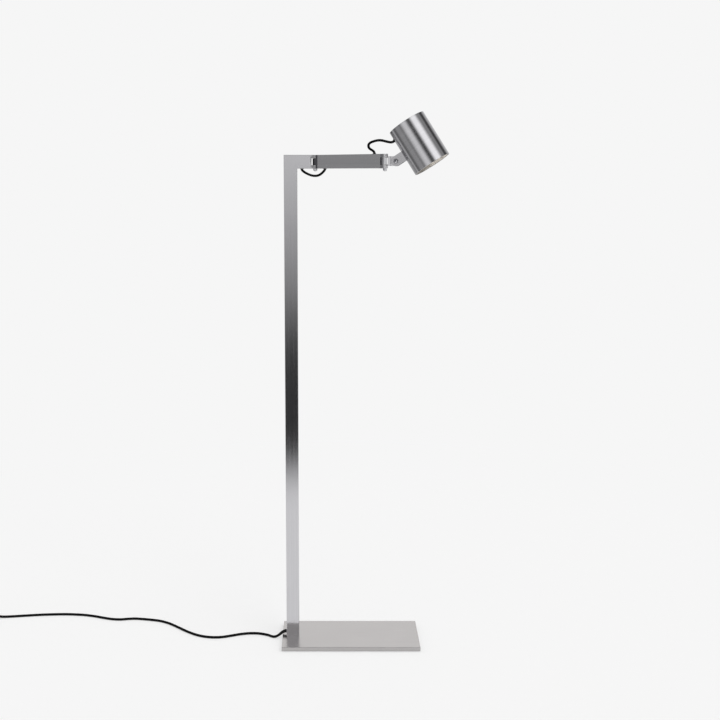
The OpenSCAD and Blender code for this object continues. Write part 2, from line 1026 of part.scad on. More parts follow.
coil_angles = [for (a = [0:15:720 * coil_turns + 180]) a];
coil_pts = [for (a = coil_angles)
    [coil_x + coil_radius(a) * cos(a + 90), coil_y + coil_radius(a) * sin(a + 90), coil_height(a)]];
coil_whole = concat([[coil_x + 6, coil_y + coil_out, coil_z]], coil_pts,
    [[coil_x + 6, coil_y - coil_out, coil_z + coil_rise]]);

// the least gap between turns, measured on the coil's own points
coil_gap = min([for (i = [0:len(coil_pts) - 1])
    for (j = [i + 12:len(coil_pts) - 1])
        norm(coil_pts[i] - coil_pts[j])]) - cord_d;

module coil_lead() {
    color(black)
        swept(held([switch_x - 47, switch_y, switch_z], lying(coil_route, [switch_x, switch_y]),
            coil_whole[0]), cord_r, 10, [0, 0, 1]);
}

module cord_coil() {
    color(black)
        swept(coil_whole, cord_r, 6, [0, 0, 1]);
}

module plug_lead() {
    color(black)
        swept(held(coil_whole[len(coil_whole) - 1], lying(lead_route, [coil_x, plug_y]),
            [coil_x + 46, plug_y, plug_z]), cord_r, 10, [0, 0, 1]);
}

// a strap round all turns at the coil's left side
module cord_tie() {
    tie_w = 2.75 * coil_step + cord_d + 0.8;
    tie_h = coil_rise + cord_d + 0.4;
    color([0.1, 0.1, 0.1])
        translate([coil_x, coil_y, 0])
            rotate([0, 0, 180])
                translate([coil_out - 1.625 * coil_step, 0, tie_h / 2 + tie_t])
                    rotate([90, 0, 0])
                        linear_extrude(11, center = true)
                            difference() {
                                section(tie_w + 2 * tie_t, tie_h + 2 * tie_t, 3);
                                section(tie_w, tie_h, 2.4);
                            }
}

module at_plug() {
    translate([coil_x + 86, plug_y, plug_z])
        rotate([0, 0, 180])
            children();
}

module plug_body() {
    color(black)
        at_plug() {
            translate([0, 0, -plug_z])
                linear_extrude(2 * plug_z)
                    polygon([[0, -12.5], [1.5, -13.2], [12, -13.2], [19, -8.5], [22, -6],
                        [22, 6], [19, 8.5], [12, 13.2], [1.5, 13.2], [0, 12.5]]);
            translate([22, 0, 0])
                rotate([0, 90, 0])
                    cylinder(h = 18, r1 = 5, r2 = cord_r + 0.2);
            for (s = [-1, 1])
                translate([0, s * 9.3, 0])
                    rotate([0, -90, 0])
                        cylinder(h = 10, r = 1.9);
        }
}

module plug_pins() {
    color(brass)
        at_plug()
            for (s = [-1, 1])
                translate([-10, s * 9.3, 0])
                    rotate([0, -90, 0]) {
                        cylinder(h = 8, r = 2);
                        translate([0, 0, 8])
                            cylinder(h = 1, r1 = 2, r2 = 1.2);
                    }
}

base_pad();
base_plate();
foot_block();
base_screws();
post_tube();
stub_tube();
stub_clevis();
stub_screw();
stub_nut();
stub_washers();
stub_grommet();
cord_gland();
cord_relief();
post_cable();
elbow_cable();
arm_tongue();
arm_tube();
arm_clevis();
arm_screw();
arm_nut();
arm_washers();
arm_grommets();
arm_cable();
head_cable_lower();
bracket_bar();
head_lug();
lug_screws();
tilt_screw();
tilt_nut();
shade_tube();
shade_cap();
holder_spacers();
lamp_holder();
bulb_body();
bulb_pins();
bulb_lens();
front_reflector();
shade_grommet();
head_cable_upper();
shade_cable();
mains_cord();
switch_base();
switch_cover();
switch_screws();
switch_reliefs();
switch_rocker();
coil_lead();
cord_coil();
plug_lead();
cord_tie();
plug_body();
plug_pins();

echo(coil_gap = coil_gap);
echo(mains_len = path_len(mains_pts), coil_len = path_len(coil_whole));
echo(loop1_len = path_len(loop1_pts), loop2_len = path_len(loop2_pts));
echo(pin1 = [pin1_x, 0, mid_z], pin2 = pin2, tilt = tilt, cut = loop2_pts[loop2_cut]);
echo(relief_end = mains_pts[relief_cut], rings = len(mains_pts), to = loop2_to);
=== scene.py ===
# %% [markdown]
# # An office floor lamp in satin nickel
# The lamp is a slab base, a post and stub of rectangular tube, an arm on a vertical
# hinge, and a round spot head on a small swivel and tilt bracket. The sizes come from
# a CAD model that is loaded first, so every piece is made where the CAD says it is.

# %% Load the CAD frame
import json
import math

import bpy
from mathutils import Matrix, Vector

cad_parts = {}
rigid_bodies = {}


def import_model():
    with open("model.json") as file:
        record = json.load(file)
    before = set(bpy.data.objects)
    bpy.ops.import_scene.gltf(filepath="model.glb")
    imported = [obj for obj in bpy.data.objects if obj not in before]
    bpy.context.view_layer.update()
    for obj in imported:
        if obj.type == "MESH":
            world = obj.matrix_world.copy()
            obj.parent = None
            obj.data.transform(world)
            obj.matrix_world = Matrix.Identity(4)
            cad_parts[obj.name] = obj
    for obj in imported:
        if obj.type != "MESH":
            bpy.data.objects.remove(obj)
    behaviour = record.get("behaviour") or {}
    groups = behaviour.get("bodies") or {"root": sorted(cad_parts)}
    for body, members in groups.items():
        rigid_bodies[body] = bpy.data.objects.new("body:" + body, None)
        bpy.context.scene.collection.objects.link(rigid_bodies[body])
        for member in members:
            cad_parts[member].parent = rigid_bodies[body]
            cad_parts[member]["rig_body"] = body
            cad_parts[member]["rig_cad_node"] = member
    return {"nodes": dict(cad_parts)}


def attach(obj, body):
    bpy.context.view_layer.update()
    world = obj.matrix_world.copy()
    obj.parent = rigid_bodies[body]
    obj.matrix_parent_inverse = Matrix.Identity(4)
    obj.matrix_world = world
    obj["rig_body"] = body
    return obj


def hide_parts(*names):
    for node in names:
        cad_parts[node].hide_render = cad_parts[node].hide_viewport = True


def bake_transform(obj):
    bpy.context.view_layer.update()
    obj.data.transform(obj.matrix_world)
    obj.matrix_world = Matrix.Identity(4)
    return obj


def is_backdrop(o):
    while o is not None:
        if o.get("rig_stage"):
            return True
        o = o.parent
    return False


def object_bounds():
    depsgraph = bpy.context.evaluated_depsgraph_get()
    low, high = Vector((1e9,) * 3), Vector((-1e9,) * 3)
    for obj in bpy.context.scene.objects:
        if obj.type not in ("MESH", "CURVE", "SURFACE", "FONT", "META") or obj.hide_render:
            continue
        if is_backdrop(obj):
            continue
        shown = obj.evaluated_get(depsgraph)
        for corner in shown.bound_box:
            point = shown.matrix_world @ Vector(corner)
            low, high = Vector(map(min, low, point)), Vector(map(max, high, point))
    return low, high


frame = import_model()
cad_low, cad_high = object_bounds()
nodes = frame["nodes"]
print("CAD box in metres:", [round(x, 3) for x in (*cad_low, *cad_high)])

# %% [markdown]
# ## The camera
# The photograph was taken from about the height of the arm, looking slightly down. A long
# lens would flatten the base, and a short one would spread it, so the focal length was
# fitted to the slant of the base's sides. The small shift keeps the post upright while
# the lamp stands left of the middle.

# %% Camera
SHEET_PX = 720
FOCAL_PX = 1065.0
camera_data = bpy.data.cameras.new("photo_camera")
camera_data.sensor_width = 36.0
camera_data.lens = 36.0 * FOCAL_PX / SHEET_PX
camera_data.shift_x = 0.0492
camera_data.clip_end = 60.0
camera = bpy.data.objects.new("photo_camera", camera_data)
camera.location = (-0.0621, -2.4118, 1.1061)
camera.rotation_euler = (math.radians(80.0), 0.0, 0.0)
bpy.context.scene.collection.objects.link(camera)
bpy.context.scene.camera = camera
print("Lens in mm:", round(camera_data.lens, 2))

# %% [markdown]
# ## Helpers for working as by hand
# An operator acts on everything that is selected, and the CAD pieces are selected
# after loading. So each step first deselects everything and picks one piece.

# %% Selection and modifier helpers
MM = 0.001
MERGE = 0.001 * MM  # points nearer than this become one point


def work_on(piece):
    if bpy.context.object and bpy.context.object.mode != "OBJECT":
        bpy.ops.object.mode_set(mode="OBJECT")
    bpy.ops.object.select_all(action="DESELECT")
    bpy.context.view_layer.objects.active = piece
    piece.select_set(True)


def apply_all(piece):
    work_on(piece)
    for modifier in list(piece.modifiers):
        bpy.ops.object.modifier_apply(modifier=modifier.name)


def add_bevel(piece, width_mm, segments=2, angle=30.0):
    bevel = piece.modifiers.new("edge", "BEVEL")
    bevel.width = width_mm * MM
    bevel.segments = segments
    bevel.limit_method = "ANGLE"
    bevel.angle_limit = math.radians(angle)


def shade_by_angle(piece, angle=30.0):
    work_on(piece)
    bpy.ops.object.shade_smooth_by_angle(angle=math.radians(angle))


def flat_faces(piece):
    """Wide faces set the normals, so that a small bevel doesn't make them look bent."""
    weighted = piece.modifiers.new("flat_faces", "WEIGHTED_NORMAL")
    weighted.keep_sharp = True
    weighted.weight = 80
    apply_all(piece)


def settle(piece, name):
    """The piece's place goes into its mesh, and its object stays at the origin."""
    piece.name = name
    piece.data.name = name
    work_on(piece)
    bpy.ops.object.transform_apply(location=True, rotation=True, scale=True)
    return piece


def place(piece, matrix):
    piece.matrix_world = matrix @ piece.matrix_world
    bpy.context.view_layer.update()


def added(primitive, **options):
    """A new primitive, with everything else deselected first."""
    bpy.ops.object.select_all(action="DESELECT")
    primitive(**options)
    return bpy.context.object


def merge_and_face_out():
    """In edit mode: doubles are merged, and every face is turned outwards."""
    bpy.ops.mesh.select_all(action="SELECT")
    bpy.ops.mesh.remove_doubles(threshold=MERGE)
    bpy.ops.mesh.normals_make_consistent(inside=False)
    bpy.ops.object.mode_set(mode="OBJECT")


def cut_out(piece, cutter):
    cut = piece.modifiers.new("cut", "BOOLEAN")
    cut.operation = "DIFFERENCE"
    cut.object = cutter
    cut.solver = "EXACT"
    apply_all(piece)
    bpy.data.objects.remove(cutter)


# %% Helpers for boxes and small bars
def box(name, size, middle=(0, 0, 0)):
    """A cube stretched to a size about its middle, both in mm."""
    piece = added(bpy.ops.mesh.primitive_cube_add, size=1.0,
                  location=[v * MM for v in middle])
    piece.scale = [v * MM for v in size]
    return settle(piece, name)


def small_bar(name, size, edge, where):
    """A bar with eased edges, turned into its place."""
    bar = box(name, size)
    add_bevel(bar, edge)
    apply_all(bar)
    shade_by_angle(bar, 40.0)
    place(bar, where)
    return settle(bar, name)


# %% A helper for turned pieces
def turned(name, rings, sides, smooth_angle, where):
    """A piece turned on Z from (radius, height) pairs in mm, then put into its place.

    The first ring is a circle. Each next one is the last ring extruded, moved along Z
    and widened. Where the last pair is the first one again, the piece is a hollow ring.
    """
    hollow = rings[0] == rings[-1]
    radius, height = rings[0]
    circle = added(bpy.ops.mesh.primitive_circle_add, vertices=sides, radius=radius * MM,
                   fill_type="NOTHING" if hollow else "NGON", location=(0, 0, height * MM))
    piece = settle(circle, name)
    bpy.ops.object.mode_set(mode="EDIT")
    bpy.ops.mesh.select_all(action="SELECT")
    for next_radius, next_height in rings[1:]:
        up = (0, 0, (next_height - height) * MM)
        bpy.ops.mesh.extrude_region_move(TRANSFORM_OT_translate={"value": up})
        wider = next_radius / radius
        bpy.ops.transform.resize(value=(wider, wider, 1), center_override=(0, 0, 0))
        radius, height = next_radius, next_height
    merge_and_face_out()
    shade_by_angle(piece, smooth_angle)
    place(piece, where)
    return settle(piece, name)


# %% [markdown]
# ## Places on the lamp
# The arm and the head stand at angles, so their pieces are made lying along X and
# then turned into place. These matrices are the same turns as in the CAD source.

# %% Places
PIN_1 = Vector((-82.8, 0.0, 1129.0)) * MM
ARM_TURN, BRACKET_TURN, HEAD_TILT = 44.0, 14.0, 33.0
ARM_LEN, BRACKET_LEN, LUG_LEN = 205.0 * MM, 24.0 * MM, 59.8 * MM


def turn_y(degrees):
    return Matrix.Rotation(math.radians(degrees), 4, "Y")


def turn_z(degrees):
    return Matrix.Rotation(math.radians(degrees), 4, "Z")


def shift(x, y=0, z=0):
    """A move in mm."""
    return Matrix.Translation((x * MM, y * MM, z * MM))


ARM = Matrix.Translation(PIN_1) @ turn_z(-ARM_TURN)
PIN_2 = ARM @ Vector((ARM_LEN, 0.0, 0.0))
BRACKET = Matrix.Translation(PIN_2) @ turn_z(-BRACKET_TURN)
TILT_PIN = BRACKET @ Vector((BRACKET_LEN, 0.0, 0.0))
HEAD = Matrix.Translation(TILT_PIN) @ turn_z(-BRACKET_TURN) @ turn_y(-HEAD_TILT)
SHADE = HEAD @ Matrix.Translation((LUG_LEN, 0.0, 0.0))
print("Swivel pin:", [round(x, 4) for x in PIN_2], "tilt pin:", [round(x, 4) for x in TILT_PIN])

# %% [markdown]
# ## Smooth routes for cords
# A cord is a tube swept along one smooth curve. The route is a short list of points
# in millimetres, and a smooth curve runs through them all, as in the CAD source.

# %% Route helpers
def curve_at(a, b, c, d, t):
    return 0.5 * (2 * b + (c - a) * t + (2 * a - 5 * b + 4 * c - d) * t * t
                  + (3 * b - a - 3 * c + d) * t * t * t)


def smooth(points, steps):
    line = []
    last = len(points) - 1
    for i in range(last):
        a, b = points[max(i - 1, 0)], points[i]
        c, d = points[i + 1], points[min(i + 2, last)]
        line += [curve_at(a, b, c, d, k / steps) for k in range(steps)]
    return line + [points[last]]


def route(numbers, by=(0.0, 0.0, 0.0)):
    return [(Vector(p) + Vector(by)) * MM for p in numbers]


def lying(points, radius):
    """A height of 0 in a list stands for a cord that lies on the floor."""
    return [Vector((p.x, p.y, max(p.z, radius))) for p in points]


def route_length(line):
    return sum((b - a).length for a, b in zip(line, line[1:]))


def tube(name, line, radius, rounds=3, swell=None):
    """A closed mesh tube along the line: a curve with a round bevel, made a mesh.

    swell gives each point's own share of the radius, for a tapered or ribbed piece.
    """
    curve = bpy.data.curves.new(name, "CURVE")
    curve.dimensions = "3D"
    curve.bevel_depth = radius
    curve.bevel_resolution = rounds
    curve.use_fill_caps = True
    spline = curve.splines.new("POLY")
    spline.points.add(len(line) - 1)
    for i, (point, p) in enumerate(zip(spline.points, line)):
        point.co = (*p, 1.0)
        point.radius = swell[i] if swell else 1.0
    piece = bpy.data.objects.new(name, curve)
    bpy.context.scene.collection.objects.link(piece)
    work_on(piece)
    bpy.ops.object.convert(target="MESH")
    piece = bpy.context.object
    bpy.ops.object.mode_set(mode="EDIT")
    merge_and_face_out()
    shade_by_angle(piece, 50.0)
    return settle(piece, name)


# %% [markdown]
# ## The mains cord
# The cord leaves the post's left side through a tapered strain relief, drops over the
# edge of the base and lies on the floor in loose waves. The photograph shows about
# the first 0.6 m. The switch comes after 0.8 m, and the other 1.5 m to the plug are
# put away in a tied coil, just outside the picture on the left.

# %% Cord route to the foot switch
OUTLET = Vector((-153.0, 0.0, 19.0)) * MM
SWITCH = Vector((-947.0, 116.0, 8.0)) * MM
SWITCH_IN = SWITCH + Vector((47 * MM, 0, 0))
SWITCH_OUT = SWITCH - Vector((47 * MM, 0, 0))
CORD_R = 3.1 * MM
floor_points = lying(route([
    (-155.5, 0, 19), (-159, -0.2, 18.2), (-162, -0.5, 16.7), (-165, -0.9, 14.8),
    (-168, -1.3, 12.5), (-173, -1.6, 8.6), (-178.5, -1, 5.4), (-185, 1, 3.5),
    (-192, 5.5, 0), (-200, 11.5, 0), (-220, 19.5, 0), (-242, 21, 0), (-264, 16.5, 0),
    (-286, 8, 0), (-308, 0, 0), (-329, -2, 0), (-351, 2, 0), (-373, 12.5, 0),
    (-397, 31, 0), (-421, 54, 0), (-446, 77, 0), (-470, 92, 0), (-494, 99.5, 0),
    (-516, 104, 0), (-536, 107, 0), (-555, 105.5, 0), (-574, 102, 0), (-597, 105, 0),
    (-620, 113, 0), (-640, 121, 0), (-660, 127, 0), (-680, 131, 0), (-715, 134, 0),
    (-750, 133, 0), (-785, 130, 0), (-820, 125, 0), (-850, 120.5, 0), (-873, 117, 3.9),
    (-885, 116.2, 6.4), (-896, 116, 8)]), CORD_R)
CORD_STEPS = 6
whole_route = [OUTLET] + smooth(floor_points, CORD_STEPS) + [SWITCH_IN]
RELIEF_END = 28
floor_route = whole_route[RELIEF_END:]
print("Cord from relief to switch:", round(route_length(floor_route), 3), "m")

# %% [markdown]
# Behind the switch the cord goes into three flat loops, climbs through half a turn and
# comes out again in three loops on top of them. So the coil has two layers, its turns
# lie beside each other, and both of its ends are outside, ready to be pulled off.

# %% Cord route from the switch through the coil to the plug
COIL = Vector((-1036.0, 69.5, 3.9)) * MM
COIL_OUT, COIL_STEP, COIL_RISE, COIL_TURNS = 46.5, 7.75, 7.316, 3


def coil_point(angle):
    inward = 360 * COIL_TURNS
    if angle < inward:
        radius = COIL_OUT - COIL_STEP * angle / 360
    elif angle < inward + 180:
        radius = COIL_OUT - COIL_STEP * COIL_TURNS
    else:
        radius = COIL_OUT - COIL_STEP * COIL_TURNS + COIL_STEP * (angle - inward - 180) / 360
    climb = max(0.0, min(1.0, (angle - inward) / 180))
    height = COIL_RISE * climb * climb * (3 - 2 * climb)
    a = math.radians(angle + 90)
    return COIL + Vector((radius * math.cos(a), radius * math.sin(a), height)) * MM


coil_line = [coil_point(a) for a in range(0, 720 * COIL_TURNS + 181, 6)]
switch_out = smooth(route([(-51, 0, 8), (-57, 0, 7.2), (-64, 0, 5.7), (-71, 0, 4.4),
                           (-78, 0, 3.9)], (-947, 116, 0)), 3)
to_plug = smooth(route([(10, 0, 11.2), (16, 0, 11), (23, 0, 9.8), (30, 0, 8.4),
                        (36, 0, 7.3), (42, 0, 7)], (-1036, 23, 0)), 3)
stored_route = ([SWITCH_OUT] + switch_out + [COIL + Vector((6, COIL_OUT, 0)) * MM]
                + coil_line + [COIL + Vector((6, -COIL_OUT, COIL_RISE)) * MM] + to_plug
                + [Vector((-990, 23, 7)) * MM])
print("Cord from switch to plug:", round(route_length(stored_route), 3), "m")

# %% Make the two stretches of cord
floor_cord = tube("floor_cord", floor_route, CORD_R, 4)
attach(floor_cord, "stand")
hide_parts("mains_cord")
stored_cord = tube("stored_cord", stored_route, CORD_R, 4)
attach(stored_cord, "stand")
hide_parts("coil_lead", "cord_coil", "plug_lead")
print("Faces of the cords:", len(floor_cord.data.polygons), len(stored_cord.data.polygons))

# %% [markdown]
# ## The strain relief
# Where the cord leaves the post a tapered rubber sleeve keeps it from kinking. Its
# ribs let it bend evenly. It is a tube along the first stretch of the same route, and
# its radius falls from rib to rib, so it fits the cord wherever the route goes.

# %% Ribbed sleeve at the post
FINE = 4
fine_route = ([OUTLET] + smooth(floor_points, CORD_STEPS * FINE))[:(RELIEF_END - 1) * FINE + 2]
RELIEF_RADIUS, RELIEF_TIP = 4.2, 3.4
RIBS = 8
relief_swell = []
for i in range(len(fine_route)):
    share = i / (len(fine_route) - 1)
    taper = RELIEF_RADIUS + (RELIEF_TIP - RELIEF_RADIUS) * share
    in_rib = (share * RIBS) % 1.0
    groove = 0.45 if 0.68 < in_rib < 0.98 and share < 0.97 else 0.0
    relief_swell.append((taper - groove) / RELIEF_RADIUS)
relief = tube("cord_sleeve", fine_route, RELIEF_RADIUS * MM, 5, relief_swell)
shade_by_angle(relief, 25.0)
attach(relief, "stand")
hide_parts("cord_relief")
print("Sleeve length in mm:", round(route_length(fine_route) / MM, 1), "ribs:", RIBS)

# %% [markdown]
# ## The thin cable at the hinges
# A thin black cable runs inside the tubes and comes out at each hinge in a loose loop, so that
# the hinge can turn. The first loop is one tube. The second is two that meet, because it crosses
# the swivel and the tilt. The photograph shows the loops bolder than the CAD's cable, so they get
# a radius of their own.

# %% Loop under the first hinge
CABLE_R, LOOP_R, LOOP_STEPS = 2.2 * MM, 2.7 * MM, 6
TOP_Z = 1144.0 * MM
half_turn = math.radians(ARM_TURN / 2)
TUBE_H = 30 * MM
HOLE_OFF = 30 * MM  # from a hinge's pin to the hole that its cable comes out of
loop1_from = Vector((PIN_1.x - HOLE_OFF, 0.0, TOP_Z - TUBE_H))
loop1_dir = Vector((math.cos(half_turn), -math.sin(half_turn), 0.0))
loop1_len = 2 * HOLE_OFF * math.cos(half_turn)
LOOP_1 = [(0, -1.6), (1, -3.6), (4, -6.2), (9.4, -9.4), (16.6, -12.7), (24.6, -15.1),
          (32.8, -15.9), (41, -14.3), (47.6, -10.5), (52.2, -6.2), (54.8, -3.3), (55.6, -1.6)]
LOOP_1_SPAN = LOOP_1[-1][0]
loop1_points = [loop1_from + loop1_dir * (x * loop1_len / LOOP_1_SPAN) + Vector((0, 0, z * MM))
                for x, z in LOOP_1]
loop1_to = loop1_from + loop1_dir * loop1_len
elbow_loop = tube("elbow_loop", [loop1_from] + smooth(loop1_points, LOOP_STEPS) + [loop1_to],
                  LOOP_R)
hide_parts("elbow_cable")
print("Loop under the first hinge:", round(loop1_len, 4), "m across")

# %% Loop above the second hinge
LOOP_2_WIDE, LOOP_2_HIGH = 51, 27.6  # the loop's far end, in LOOP_2's units
loop2_from = ARM @ Vector((ARM_LEN - HOLE_OFF, 0.0, TUBE_H / 2))
loop2_to = HEAD @ Vector((19.0 * MM, 0.0, 37.5 * MM))
head_u = (HEAD.to_3x3() @ Vector((1, 0, 0))).normalized()
flat = Vector((loop2_to.x - loop2_from.x, loop2_to.y - loop2_from.y, 0.0))
loop2_dir = flat.normalized()
wide = flat.length / LOOP_2_WIDE
high = (loop2_to.z - loop2_from.z) / LOOP_2_HIGH
LOOP_2 = [(0, 1.6), (-1, 4.4), (-4.4, 7.2), (-9, 9.6), (-13, 12.2), (-15.4, 16),
          (-15, 20.2), (-12, 23.4), (-7, 25.6), (-1, 27.2), (6, 28.6), (14, 29),
          (22, 28), (30, 26.2), (38, 24.7), (43, 24.4), (46.6, 25.1)]
loop2_points = [loop2_from + loop2_dir * (x * wide) + Vector((0, 0, z * high))
                for x, z in LOOP_2]
loop2_points.append(loop2_to - head_u * 1.6 * MM)
loop2_line = smooth(loop2_points, LOOP_STEPS)
LOOP_2_CUT = 12 * LOOP_STEPS
lower_line = [loop2_from] + loop2_line[:LOOP_2_CUT + 1]
upper_line = loop2_line[LOOP_2_CUT:] + [loop2_to]
head_loop_lower = tube("head_loop_lower", lower_line, LOOP_R)
head_loop_upper = tube("head_loop_upper", upper_line, LOOP_R)
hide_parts("head_cable_lower")
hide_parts("head_cable_upper")
print("Cable above the arm:", round(route_length(lower_line) + route_length(upper_line), 3), "m")

# %% [markdown]
# Between the loops the same cable runs unseen: up the post, through the arm and from
# the shade's grommet to the lamp holder. It is made in the same way, so that a reader
# who cuts the lamp open, or hides a tube, finds it in its place.

# %% The cable inside the tubes and the shade
def inner_cable(name, node, numbers, body, where=Matrix.Identity(4)):
    points = [where @ p for p in route(numbers)]
    line = [points[0]] + smooth(points[1:-1], LOOP_STEPS) + [points[-1]]
    piece = tube(name, line, CABLE_R)
    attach(piece, body)
    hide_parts(node)
    return piece


cable_in_post = inner_cable("cable_in_post", "post_cable", [
    (-153, 0, 19), (-148.8, 0, 19), (-145, 0, 22), (-143.6, 0, 27), (-143.8, 0, 45),
    (-144.6, 0, 70), (-138, 0, 120), (-138, 0, 400), (-138, 0, 800), (-138, 0, 1084),
    (-140, 0, 1108), (-136, 0, 1124), (-127, 0, 1132), (-118.8, 0, 1131),
    (-113.6, 0, 1124), (-112.8, 0, 1118), (-112.8, 0, 1114)], "stand")
cable_in_arm = inner_cable("cable_in_arm", "arm_cable", [
    (30, 0, -15), (30, 0, -12), (30.5, 0, -8), (34, 0, -3), (42, 0, 0), (80, 0, 0),
    (140, 0, 0), (163, 0, 0), (171, 0, 3), (174.5, 0, 8), (175, 0, 12), (175, 0, 15)],
    "arm", ARM)
cable_in_shade = inner_cable("cable_in_shade", "shade_cable", [
    (19, 0, 37.5), (24, 0, 37.5), (31, 0, 36.5), (38, 0, 34.5), (42.8, 0, 34),
    (45.7, 0, 34)], "head", HEAD)
inner_cables = (cable_in_post, cable_in_arm, cable_in_shade)
print("Faces of the hidden cables:", [len(c.data.polygons) for c in inner_cables])

# %% [markdown]
# ## Softened copies of the machined parts
# Real machined parts have tiny rounded edges that catch the light. The hinge parts,
# screws and nuts already have the right shape in the CAD, so each is copied, its
# loose triangles are merged into faces, and its sharp edges get a small bevel. The
# tubes get none. The CAD piece stays unchanged, hidden behind its copy.

# %% A softened copy of one CAD node
def softened(node, name, width_mm, segments=2, angle=30.0):
    piece = nodes[node].copy()
    piece.data = nodes[node].data.copy()
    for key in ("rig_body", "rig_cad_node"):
        if key in piece:
            del piece[key]
    piece.parent = None
    piece.matrix_world = Matrix.Identity(4)
    bpy.context.scene.collection.objects.link(piece)
    piece.data.materials.clear()
    work_on(piece)
    if piece.data.has_custom_normals:
        bpy.ops.mesh.customdata_custom_splitnormals_clear()
    bpy.ops.object.mode_set(mode="EDIT")
    bpy.ops.mesh.select_all(action="SELECT")
    bpy.ops.mesh.remove_doubles(threshold=2 * MERGE)
    bpy.ops.mesh.dissolve_limited(angle_limit=math.radians(0.5))
    bpy.ops.object.mode_set(mode="OBJECT")
    if width_mm:
        add_bevel(piece, width_mm, segments, angle)
        apply_all(piece)
    shade_by_angle(piece, angle)
    flat_faces(piece)
    settle(piece, name)
    body = nodes[node]["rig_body"]
    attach(piece, body)
    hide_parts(node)
    return piece


# %% Hinge parts, bracket, screws and small fittings
SOFT = {
    "foot_block": 0.2, "stub_clevis": 0.35, "arm_tongue": 0.35, "arm_clevis": 0.35,
    "bracket_bar": 0.6, "head_lug": 0.6, "stub_screw": 0.12, "arm_screw": 0.12,
    "tilt_screw": 0.15, "stub_nut": 0.2, "arm_nut": 0.2, "tilt_nut": 0.2,
    "lug_screws": 0.12, "base_screws": 0.1, "holder_spacers": 0.1,
    "plug_pins": 0.15, "bulb_pins": 0.1, "switch_screws": 0.1, "cord_gland": 0.2,
    "stub_grommet": 0.2, "arm_grommets": 0.2, "shade_grommet": 0.15,
    "stub_washers": 0.05, "arm_washers": 0.05, "lamp_holder": 0.4, "base_pad": 0.3,
    "switch_base": 0.7, "switch_cover": 0.9, "switch_rocker": 0.4, "cord_tie": 0.25,
    "post_tube": 0.0, "stub_tube": 0.0, "arm_tube": 0.0,
}
parts = {}
for node, width in SOFT.items():
    parts[node] = softened(node, node + "_piece", width, 3 if width > 0.5 else 2)
print("Softened parts:", len(parts))

# %% [markdown]
# ## The base
# The base is a heavy slab of steel with eased edges. A cube is stretched to
# size, its edges are bevelled, and the holes for the two screws and the pocket for the
# post's foot block are cut with Boolean modifiers.

# %% Base slab
BASE_W, BASE_D, BASE_T, PAD_T = 325.0, 150.0, 10.0, 1.5
slab = box("base_slab", (BASE_W, BASE_D, BASE_T), (0, 0, PAD_T + BASE_T / 2))
add_bevel(slab, 0.8, 3)
apply_all(slab)
POST_X, SCREW_OFF, SCREW_R = -138.0, 8.0, 2.7 * MM
for x in (POST_X - SCREW_OFF, POST_X + SCREW_OFF):
    cut_out(slab, added(bpy.ops.mesh.primitive_cone_add, vertices=48, radius1=4.9 * MM,
                        radius2=SCREW_R, depth=2.8 * MM, location=(x * MM, 0, 2.7 * MM)))
    cut_out(slab, added(bpy.ops.mesh.primitive_cylinder_add, vertices=48, radius=SCREW_R,
                        depth=12 * MM, location=(x * MM, 0, 8 * MM)))
POCKET = (27.1, 9.1, 20.0)
cut_out(slab, box("pocket", POCKET, (POST_X, 0, 16.5)))
shade_by_angle(slab, 35.0)
flat_faces(slab)
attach(slab, "stand")
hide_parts("base_plate")
print("Base slab faces:", len(slab.data.polygons))

# %% [markdown]
# ## The shade
# The shade is a plain round tube with eased edges at both ends. It starts as an open
# cylinder of many sides, gets its wall with Solidify and its eased edges with a bevel,
# and is then turned into the head's place.

# %% Shade tube
SHADE_R, SHADE_WALL, SHADE_UP, SHADE_DOWN = 40.8, 1.5, 55.0, 47.0
shade = added(bpy.ops.mesh.primitive_cylinder_add, vertices=192, radius=SHADE_R * MM,
              depth=(SHADE_UP + SHADE_DOWN) * MM, end_fill_type="NOTHING",
              location=(0, 0, (SHADE_UP - SHADE_DOWN) / 2 * MM))
wall = shade.modifiers.new("wall", "SOLIDIFY")
wall.thickness = SHADE_WALL * MM
wall.offset = -1.0
add_bevel(shade, 0.4, 3, 50.0)
apply_all(shade)
place(shade, SHADE)
settle(shade, "shade_shell")
shade_by_angle(shade, 30.0)
flat_faces(shade)
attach(shade, "head")
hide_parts("shade_tube")
print("Shade faces:", len(shade.data.polygons))

# %% [markdown]
# ## The cap, the reflector and the lamp
# These are all round, so each is turned on the shade's own axis, ring by ring, and
# then placed in the head. The cap has a fine groove near its edge. The reflector is
# a cone pressed in narrow steps, which spread the light. The lamp is a flared body
# with a shallow pressed lens in front.

# %% Cap at the top of the shade
CAP_LOW, CAP_HIGH, CAP_R = 51.7, 54.7, 39.25
cap = turned("top_cap", [
    (CAP_R - 0.3, CAP_LOW), (CAP_R, CAP_LOW + 0.3), (CAP_R, CAP_HIGH - 0.4),
    (CAP_R - 0.12, CAP_HIGH - 0.12), (CAP_R - 0.4, CAP_HIGH), (34.6, CAP_HIGH),
    (34.3, CAP_HIGH - 0.15), (34.2, CAP_HIGH - 0.6), (33.2, CAP_HIGH - 0.6),
    (33.1, CAP_HIGH - 0.15), (32.8, CAP_HIGH), (12.0, CAP_HIGH), (0.5, CAP_HIGH)],
    128, 30.0, SHADE)
flat_faces(cap)
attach(cap, "head")
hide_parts("shade_cap")
print("Cap faces:", len(cap.data.polygons))

